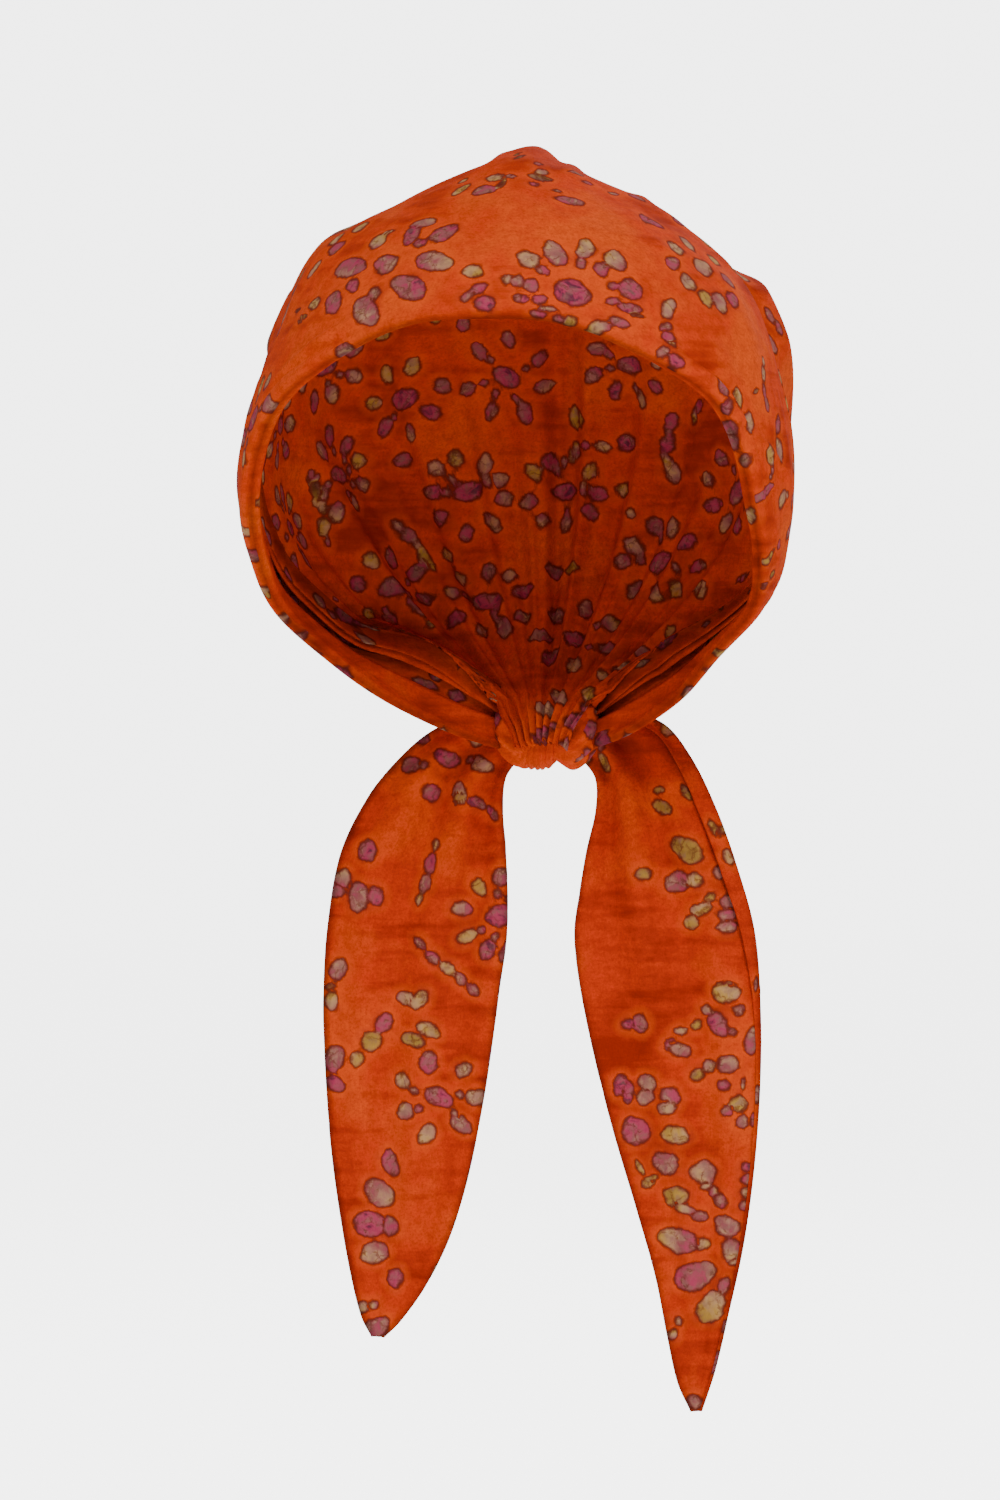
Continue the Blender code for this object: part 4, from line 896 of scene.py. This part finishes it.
def petalPrint():
    # the petals' fill, cracks and dark outline over the ground, from how far their edge is in millimetres
    group, given, out = shaderGroup(
        "Petal print",
        [("Ground", "NodeSocketColor", dye["ground"]), ("Edge", "NodeSocketFloat", 20.0),
         ("Tint", "NodeSocketFloat", 0.35), ("Line width", "NodeSocketFloat", 0.36)],
        [("Color", "NodeSocketColor")])
    place = put(group, "ShaderNodeTexCoord").outputs["Object"]
    rough = noise(group, place, petalLook["rough"], 3.0, Roughness=0.65)
    patch = noise(group, place, petalLook["patch"], 3.0, Distortion=0.6)["Fac"]
    faded = noise(group, place, petalLook["faded"], 2.0)["Fac"]
    crept = noise(group, place, petalLook["crept"], 3.0, Roughness=0.6)["Fac"]
    ragged = sums(group, "MULTIPLY", sums(group, "SUBTRACT", rough["Fac"], 0.5), petalLook["ragged"])
    edge = sums(group, "ADD", given["Edge"], ragged)
    # the dark tints vary less than the light ones
    uneven = sums(group, "MULTIPLY", sums(group, "SUBTRACT", patch, 0.5),
                  sums(group, "MULTIPLY_ADD", given["Tint"], -1.65, 1.7))
    fill = rampNode(group, sums(group, "ADD", given["Tint"], uneven), petalTints)
    # a grey wash in places, a redder rim inside the outline, and crackle where the wax broke
    broken = shifted(group, place, rough["Color"], petalLook["crackShift"])
    cells = put(group, "ShaderNodeTexVoronoi", {"Vector": broken, "Scale": petalLook["cells"]},
                feature="DISTANCE_TO_EDGE").outputs["Distance"]
    crack = sums(group, "MULTIPLY", mask(group, cells, 0.11, 0.01), mask(group, patch, 0.44, 0.58))
    fill = overlaid(group, fill, [
        (mask(group, faded, 0.48, 0.66), petalLook["washShare"], dye["wash"]),
        (mask(group, edge, -1.3, -0.2), petalLook["rimShare"], dye["rim"]),
        (crack, petalLook["crackShare"], dye["line"])])
    # a brighter halo round each petal, and maroon that has crept out of the outline here and there
    creeping = sums(group, "MULTIPLY", mask(group, crept, 0.50, 0.64), mask(group, edge, 2.6, 0.3))
    ground = overlaid(group, given["Ground"], [
        (mask(group, edge, 3.4, 0.8), petalLook["haloShare"], dye["halo"]),
        (creeping, petalLook["creptShare"], dye["crept"])])
    inside = mask(group, edge, 0.25, -0.25)
    width = sums(group, "MULTIPLY", given["Line width"], sums(group, "MULTIPLY_ADD", patch, 2.6, -0.30))
    line = mask(group, sums(group, "DIVIDE", sums(group, "ABSOLUTE", edge), width), 1.9, 0.2)
    colour = overlaid(group, blendColours(group, inside, ground, fill),
                      [(line, petalLook["lineShare"], dye["line"])])
    group.links.new(colour, out["Color"])
    return group


def plainWeave():
    # threads over and under, from the cloth's own UV map, whose unit is 0.1 m
    group, given, out = shaderGroup("Plain weave", [("Pitch", "NodeSocketFloat", 90.0)],
                                    [("Height", "NodeSocketFloat"), ("Thread", "NodeSocketFloat")])
    cloth = put(group, "ShaderNodeUVMap", uv_map="cloth").outputs[0]
    banded = {"Vector": cloth, "Scale": given["Pitch"], "Distortion": 0.4, "Detail": 1.0}
    warp, weft = (
        put(group, "ShaderNodeTexWave", banded, wave_type="BANDS", bands_direction=way).outputs["Fac"]
        for way in ("X", "Y"))
    drawn = put(group, "ShaderNodeMapping", {"Vector": cloth, "Scale": (2.0, 40.0, 1.0)}).outputs[0]
    slub = noise(group, drawn, 8.0, 2.0)["Fac"]
    height = sums(group, "MULTIPLY_ADD", slub, 0.4, sums(group, "MULTIPLY", warp, weft))
    group.links.new(height, out["Height"])
    group.links.new(slub, out["Thread"])
    return group


clothLook = {"threadPitch": 64.0, "threadShade": (0.32, 0.84), "paintedFoldShade": -0.55, "roughness": (0.78, 0.92),
             "weaveBump": (0.30, 0.00015), "creaseScale": 75.0, "streakHeight": 1.3,
             "creaseBump": (0.55, 0.0013), "specular": 0.03, "sheen": 0.015, "sheenRoughness": 0.45,
             "sheenTint": linear(236, 120, 66)}


def clothMaterial(name, groups, ground, deep, bright, amount):
    material = bpy.data.materials.new(name)
    material.use_nodes = True
    tree = material.node_tree
    dyed = put(tree, "ShaderNodeGroup", {"Ground": ground, "Deep": deep, "Bright": bright, "Amount": amount},
               node_tree=groups["ground"]).outputs
    # the print's two attributes, and the painted shade along the folded edges and the join
    edge, tint, folded = (
        put(tree, "ShaderNodeAttribute", attribute_name=label, attribute_type="GEOMETRY").outputs["Fac"]
        for label in ("petalEdge", "petalTint", "paintedFoldShade"))
    printed = {"Ground": dyed["Color"], "Edge": edge, "Tint": tint, "Line width": batik["line"]}
    prints = put(tree, "ShaderNodeGroup", printed, node_tree=groups["petals"]).outputs["Color"]
    weave = put(tree, "ShaderNodeGroup", {"Pitch": clothLook["threadPitch"]},
                node_tree=groups["weave"]).outputs
    # lighter and darker threads, and painted shade that darkens the cloth along the folded edges and beside
    # the join
    thread = sums(tree, "MULTIPLY_ADD", weave["Thread"], *clothLook["threadShade"])
    thread = sums(tree, "MULTIPLY", thread, sums(tree, "MULTIPLY_ADD", folded, clothLook["paintedFoldShade"], 1.0))
    grey = put(tree, "ShaderNodeCombineColor", {"Red": thread, "Green": thread, "Blue": thread}).outputs[0]
    smooth, worn = clothLook["roughness"]
    rough = put(tree, "ShaderNodeMapRange",
                {"Value": dyed["Cloud"], "To Min": smooth, "To Max": worn}).outputs[0]
    strength, distance = clothLook["weaveBump"]
    woven = put(tree, "ShaderNodeBump",
                {"Strength": strength, "Distance": distance, "Height": weave["Height"]}).outputs[0]
    place = put(tree, "ShaderNodeTexCoord").outputs["Object"]
    creases = noise(tree, place, clothLook["creaseScale"], 3.0)["Fac"]
    wrinkles = sums(tree, "MULTIPLY_ADD", dyed["Streak"], clothLook["streakHeight"], creases)
    strength, distance = clothLook["creaseBump"]
    soft = put(tree, "ShaderNodeBump", {"Strength": strength, "Distance": distance, "Height": wrinkles,
                                        "Normal": woven})
    setInputs(tree, tree.nodes["Principled BSDF"], {
        "Base Color": blendColours(tree, 1.0, prints, grey, "MULTIPLY"), "Roughness": rough,
        "Normal": soft.outputs[0], "Specular IOR Level": clothLook["specular"],
        "Sheen Weight": clothLook["sheen"], "Sheen Roughness": clothLook["sheenRoughness"],
        "Sheen Tint": clothLook["sheenTint"]})
    return material


groups = {"ground": mottledGround(), "petals": petalPrint(), "weave": plainWeave()}
printedCotton = clothMaterial("Printed cotton", groups, dye["ground"], dye["deep"], dye["bright"], 1.2)
tieCotton = clothMaterial("Tie cotton", groups, dye["tieGround"], dye["tieDeep"], dye["tieBright"], 1.15)
print("materials made")


# Pieces
def placeInScene(name, data):
    made = bpy.data.objects.new(name, data)
    bpy.context.scene.collection.objects.link(made)
    return made


def lengthsAcross(grid):
    # how far each point of the cloth is from its first edge, in millimetres
    steps = np.cumsum(np.linalg.norm(np.diff(grid, axis=1), axis=2), axis=1)
    return np.concatenate([np.zeros((len(grid), 1)), steps], axis=1)


def clothPiece(name, piece, material, wall):
    grid = piece["grid"]
    n, m = grid.shape[:2]
    mesh = bpy.data.meshes.new(name)
    quads = piece["quads"][:, ::-1] if piece["flip"] else piece["quads"]
    mesh.from_pydata((grid.reshape(-1, 3) * mm).tolist(), [], quads.tolist())
    mesh.shade_smooth()
    for label in ("petalEdge", "petalTint", "paintedFoldShade"):
        values = piece[label].astype(np.float32)
        mesh.attributes.new(label, "FLOAT", "POINT").data.foreach_set("value", values)
    middle = np.concatenate([[0.0], np.cumsum(np.linalg.norm(np.diff(grid[:, m // 2], axis=0), axis=1))])
    cloth = np.stack([np.broadcast_to(middle[:, None], (n, m)), lengthsAcross(grid)], axis=-1)
    cloth = cloth.reshape(-1, 2) / 100.0
    corner = np.empty(len(mesh.loops), np.int32)
    mesh.loops.foreach_get("vertex_index", corner)
    mesh.uv_layers.new(name="cloth").data.foreach_set("uv", cloth[corner].astype(np.float32).ravel())
    mesh.materials.append(material)
    made = placeInScene(name, mesh)
    if wall:
        thickness = made.modifiers.new("Cloth thickness", "SOLIDIFY")
        thickness.thickness, thickness.offset = wall * mm, -1.0
    return made


def paintedFoldShade(grid, folds, reach):
    # how much painted shade a point gets: 1 on the folded edges, whose columns are given, and 0 away from
    # them
    across = lengthsAcross(grid)
    gaps = [abs(across - across[:, [fold]]) for fold in folds]
    near = np.min(gaps or [np.full(across.shape, 99.0)], axis=0)
    return np.exp(-(near / reach) ** 2).ravel()


def prepare(grid, flip, smooth=None, charted=True, folds=(), reach=1.6):
    # smooth is the same cloth before it is folded, where the print is worked out
    smooth = grid if smooth is None else smooth
    tree, quads = gridTree(grid)
    return {"grid": grid, "flip": flip, "tree": tree, "quads": quads, "folded": grid.reshape(-1, 3),
            "points": smooth.reshape(-1, 3), "normals": gridNormals(smooth, flip).reshape(-1, 3),
            "charted": charted, "paintedFoldShade": paintedFoldShade(grid, folds, reach)}


pieces = {"front_band": prepare(bandGrid(), False, folds=band["foldColumns"]),
          "back_cap": prepare(capGrid(), False, capGrid(0.0), folds=cap["foldColumns"],
                              reach=cap["shadeReach"])}
for name, flip in (("tie_right", True), ("tie_left", False)):
    pieces[name] = prepare(tieGrid(ties[name]), flip, tieGrid(ties[name], 0.0), folds=tieShape["foldColumns"])

petals = chartedPetals(pieces)
rng = random.Random(batik["seed"])
for name, piece in pieces.items():
    strewn = strewnPetals(piece, petals[name], rng)
    piece["petalEdge"], piece["petalTint"] = paint(piece, petals[name] + strewn, rng)
    print(name, "petals:", len(petals[name]), "charted,", len(strewn), "strewn")

nodes = {"front_band": "front_panel", "back_cap": "crown_back", "tie_right": "tail_right",
         "tie_left": "tail_left"}
walls = {"front_band": band["wall"], "back_cap": cap["wall"], "tie_right": tieShape["wall"],
         "tie_left": tieShape["wall"]}
made = {}
for name, piece in pieces.items():
    made[name] = clothPiece(name, piece, tieCotton if name.startswith("tie") else printedCotton, walls[name])
    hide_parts(nodes[name])
    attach(made[name], "root")


def knotPiece():
    # the lobes and the wrap as one piece, with their seams and poles closed
    shape, parts = bmesh.new(), []
    for label, grid in (("lobes", lobesGrid()), ("wrap", wrapGrid())):
        part = prepare(grid, False, charted=False)
        part["petalEdge"], part["petalTint"] = paint(part, strewnPetals(part, [], rng), rng)
        parts.append(clothPiece("knot " + label, part, printedCotton, 0.0))
        shape.from_mesh(parts[-1].data)
    mesh = bpy.data.meshes.new("nape_knot")
    bmesh.ops.remove_doubles(shape, verts=shape.verts, dist=0.000002)
    bmesh.ops.recalc_face_normals(shape, faces=shape.faces)
    shape.to_mesh(mesh)
    shape.free()
    mesh.shade_smooth()
    mesh.materials.append(printedCotton)
    for part in parts:
        bpy.data.objects.remove(part, do_unlink=True)
    knot = placeInScene("nape_knot", mesh)
    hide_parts("knot")
    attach(knot, "root")
    return knot


made["nape_knot"] = knotPiece()
print("cloth pieces made")

# Hem stitches: a row along each tie's turned hem, seen from both sides, and one on the brow facing
stitch = {"pitch": 3.0, "long": 2.1, "thick": 0.34, "proud": 0.10, "inset": 2.4, "sides": 6,
          # sections left bare at each end, and the columns of the cloth: the facing's, the hem's counted
          # back from the last, and the one before the body of a tie
          "ends": 4, "facingColumn": 1.0, "hemColumn": 2.5, "bodyColumn": 12}


def threadMaterial():
    material = bpy.data.materials.new("Rust thread")
    material.use_nodes = True
    tree = material.node_tree
    place = put(tree, "ShaderNodeTexCoord").outputs["Object"]
    twist = put(tree, "ShaderNodeTexWave", {"Vector": place, "Scale": 900.0, "Distortion": 2.0},
                bands_direction="DIAGONAL").outputs["Fac"]
    bump = put(tree, "ShaderNodeBump", {"Strength": 0.4, "Distance": 0.0001, "Height": twist})
    setInputs(tree, tree.nodes["Principled BSDF"], {
        "Base Color": blendColours(tree, twist, dye["tieDeep"], dye["bright"]), "Normal": bump.outputs[0],
        "Roughness": 0.6})
    return material


def stitchTree(material):
    # short capped threads laid end to end along a curve
    tree = bpy.data.node_groups.new("Stitch row", "GeometryNodeTree")
    tree.interface.new_socket("Geometry", in_out="INPUT", socket_type="NodeSocketGeometry")
    for label in ("Pitch", "Long", "Thick"):
        tree.interface.new_socket(label, in_out="INPUT", socket_type="NodeSocketFloat")
    tree.interface.new_socket("Geometry", in_out="OUTPUT", socket_type="NodeSocketGeometry")
    given, out = tree.nodes.new("NodeGroupInput").outputs, tree.nodes.new("NodeGroupOutput").inputs
    spots = put(tree, "GeometryNodeResampleCurve", {"Curve": given["Geometry"], "Length": given["Pitch"]},
                mode="LENGTH")
    radius = sums(tree, "MULTIPLY", given["Thick"], 0.5)
    thread = put(tree, "GeometryNodeMeshCylinder",
                 {"Vertices": stitch["sides"], "Radius": radius, "Depth": given["Long"]})
    tangent = put(tree, "GeometryNodeInputTangent").outputs[0]
    along = put(tree, "FunctionNodeAlignRotationToVector", {"Vector": tangent}, axis="Z")
    laid = put(tree, "GeometryNodeInstanceOnPoints", {
        "Points": spots.outputs[0], "Instance": thread.outputs["Mesh"], "Rotation": along.outputs[0]})
    real = put(tree, "GeometryNodeRealizeInstances", {"Geometry": laid.outputs[0]})
    done = put(tree, "GeometryNodeSetMaterial", {"Geometry": real.outputs[0], "Material": material})
    tree.links.new(done.outputs[0], out["Geometry"])
    return tree


def rowAlong(piece, column, side):
    # points along the cloth at a column of its grid, which may lie between two, just proud of one side
    low = np.floor(column).astype(int)
    share, sections = (column - low)[:, None], np.arange(len(piece["grid"]))
    points = piece["grid"][sections, low] * (1.0 - share) + piece["grid"][sections, low + 1] * share
    normals = gridNormals(piece["grid"], piece["flip"])[sections, low]
    return (points + normals * side * stitch["proud"])[stitch["ends"]:-stitch["ends"]]


def hemRows():
    rows = [rowAlong(pieces["front_band"], np.full(band["sections"], stitch["facingColumn"]), 1.0)]
    start = stitch["bodyColumn"]
    for name in ("tie_right", "tie_left"):
        grid = pieces[name]["grid"]
        width = np.linalg.norm(grid[:, start + 1] - grid[:, -start - 1], axis=1)
        body = start + tieShape["bodySteps"] * np.clip(1.0 - stitch["inset"] / width, 0.1, 1.0)
        hem = np.full(len(grid), grid.shape[1] - stitch["hemColumn"])
        rows += [rowAlong(pieces[name], hem, 1.0), rowAlong(pieces[name], body, 1.0)]
    return rows


def stitchPiece():
    curve = bpy.data.curves.new("stitch routes", "CURVE")
    curve.dimensions = "3D"
    for row in hemRows():
        spline = curve.splines.new("POLY")
        spline.points.add(len(row) - 1)
        points = np.column_stack([row * mm, np.ones(len(row))])
        spline.points.foreach_set("co", points.astype(np.float32).ravel())
    route = placeInScene("stitch routes", curve)
    tree = stitchTree(threadMaterial())
    rows = route.modifiers.new("Stitch row", "NODES")
    rows.node_group = tree
    for item in tree.interface.items_tree:
        if item.in_out == "INPUT" and item.name in ("Pitch", "Long", "Thick"):
            rows[item.identifier] = stitch[item.name.lower()] * mm
    mesh = bpy.data.meshes.new_from_object(route.evaluated_get(bpy.context.evaluated_depsgraph_get()))
    bpy.data.objects.remove(route, do_unlink=True)
    stitches = placeInScene("hem_stitches", mesh)
    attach(stitches, "root")
    return stitches


made["hem_stitches"] = stitchPiece()
print("stitches:", len(made["hem_stitches"].data.polygons), "faces")

# Camera, light and floor
camera = placeInScene("camera", bpy.data.cameras.new("camera"))
camera.data.sensor_fit = "VERTICAL"
camera.data.sensor_height = 36.0
camera.data.lens = view["lens"]
camera.data.clip_end = 20.0
camera.location = Vector(view["place"]) * mm
camera.rotation_euler = (Vector(view["aim"]) - Vector(view["place"])).to_track_quat("-Z", "Y").to_euler()
bpy.context.scene.camera = camera

studio = {
    "world": (1.0, 1.0, 1.0, 1.0), "fill": 0.20, "backgroundStrength": 4.6, "floorGlow": 0.5,
    "floorSeen": 4.3,
    # place, size, power, colour
    "lamps": [((0.65, -1.7, 1.6), 0.8, 50.0, (1.0, 0.985, 0.96)),
              ((-1.5, -1.5, 0.3), 1.0, 2.5, (1.0, 0.99, 0.97)),
              ((0.5, 1.9, 1.2), 1.2, 27.0, (1.0, 1.0, 1.0)), ((-1.6, 1.0, 0.3), 1.0, 8.0, (1.0, 1.0, 1.0))],
    "lampAim": (0.0, 0.0, -0.15),
}


def directOrNot(tree, lit, seen):
    # one strength for what a surface lights, another for how it looks itself
    direct = put(tree, "ShaderNodeLightPath").outputs["Is Camera Ray"]
    return put(tree, "ShaderNodeMapRange", {"Value": direct, "To Min": lit, "To Max": seen}).outputs[0]


world = bpy.data.worlds.new("soft room")
world.use_nodes = True
room = world.node_tree.nodes["Background"]
room.inputs["Color"].default_value = studio["world"]
strength = directOrNot(world.node_tree, studio["fill"], studio["backgroundStrength"])
world.node_tree.links.new(strength, room.inputs["Strength"])
bpy.context.scene.world = world
for i, (place, size, power, colour) in enumerate(studio["lamps"]):
    lamp = bpy.data.lights.new(f"softbox {i + 1}", "AREA")
    lamp.size, lamp.energy, lamp.color = size, power, colour
    holder = placeInScene(lamp.name, lamp)
    holder.location = place
    holder.rotation_euler = (Vector(studio["lampAim"]) - Vector(place)).to_track_quat("-Z", "Y").to_euler()


def studioFloor(radius=9.0, height=-0.52):
    # a wide pale floor, clear from underneath so that the hollow can be looked into
    shape = bmesh.new()
    bmesh.ops.create_circle(shape, cap_ends=True, radius=radius, segments=96)
    bmesh.ops.translate(shape, verts=shape.verts, vec=(0.0, 0.0, height))
    mesh = bpy.data.meshes.new("studio_floor")
    shape.to_mesh(mesh)
    shape.free()
    paper = bpy.data.materials.new("Floor paper")
    paper.use_nodes = True
    tree = paper.node_tree
    surface = tree.nodes["Principled BSDF"]
    setInputs(tree, surface, {
        "Base Color": (0.95, 0.95, 0.945, 1.0), "Roughness": 0.9, "Emission Color": (1.0, 1.0, 1.0, 1.0),
        "Emission Strength": directOrNot(tree, studio["floorGlow"], studio["floorSeen"])})
    clear = put(tree, "ShaderNodeBsdfTransparent").outputs[0]
    under = put(tree, "ShaderNodeNewGeometry").outputs["Backfacing"]
    sheet = put(tree, "ShaderNodeMixShader", {0: under, 1: surface.outputs[0], 2: clear})
    tree.links.new(sheet.outputs[0], tree.nodes["Material Output"].inputs["Surface"])
    mesh.materials.append(paper)
    floor = placeInScene("studio_floor", mesh)


studioFloor()
print("camera and light set")
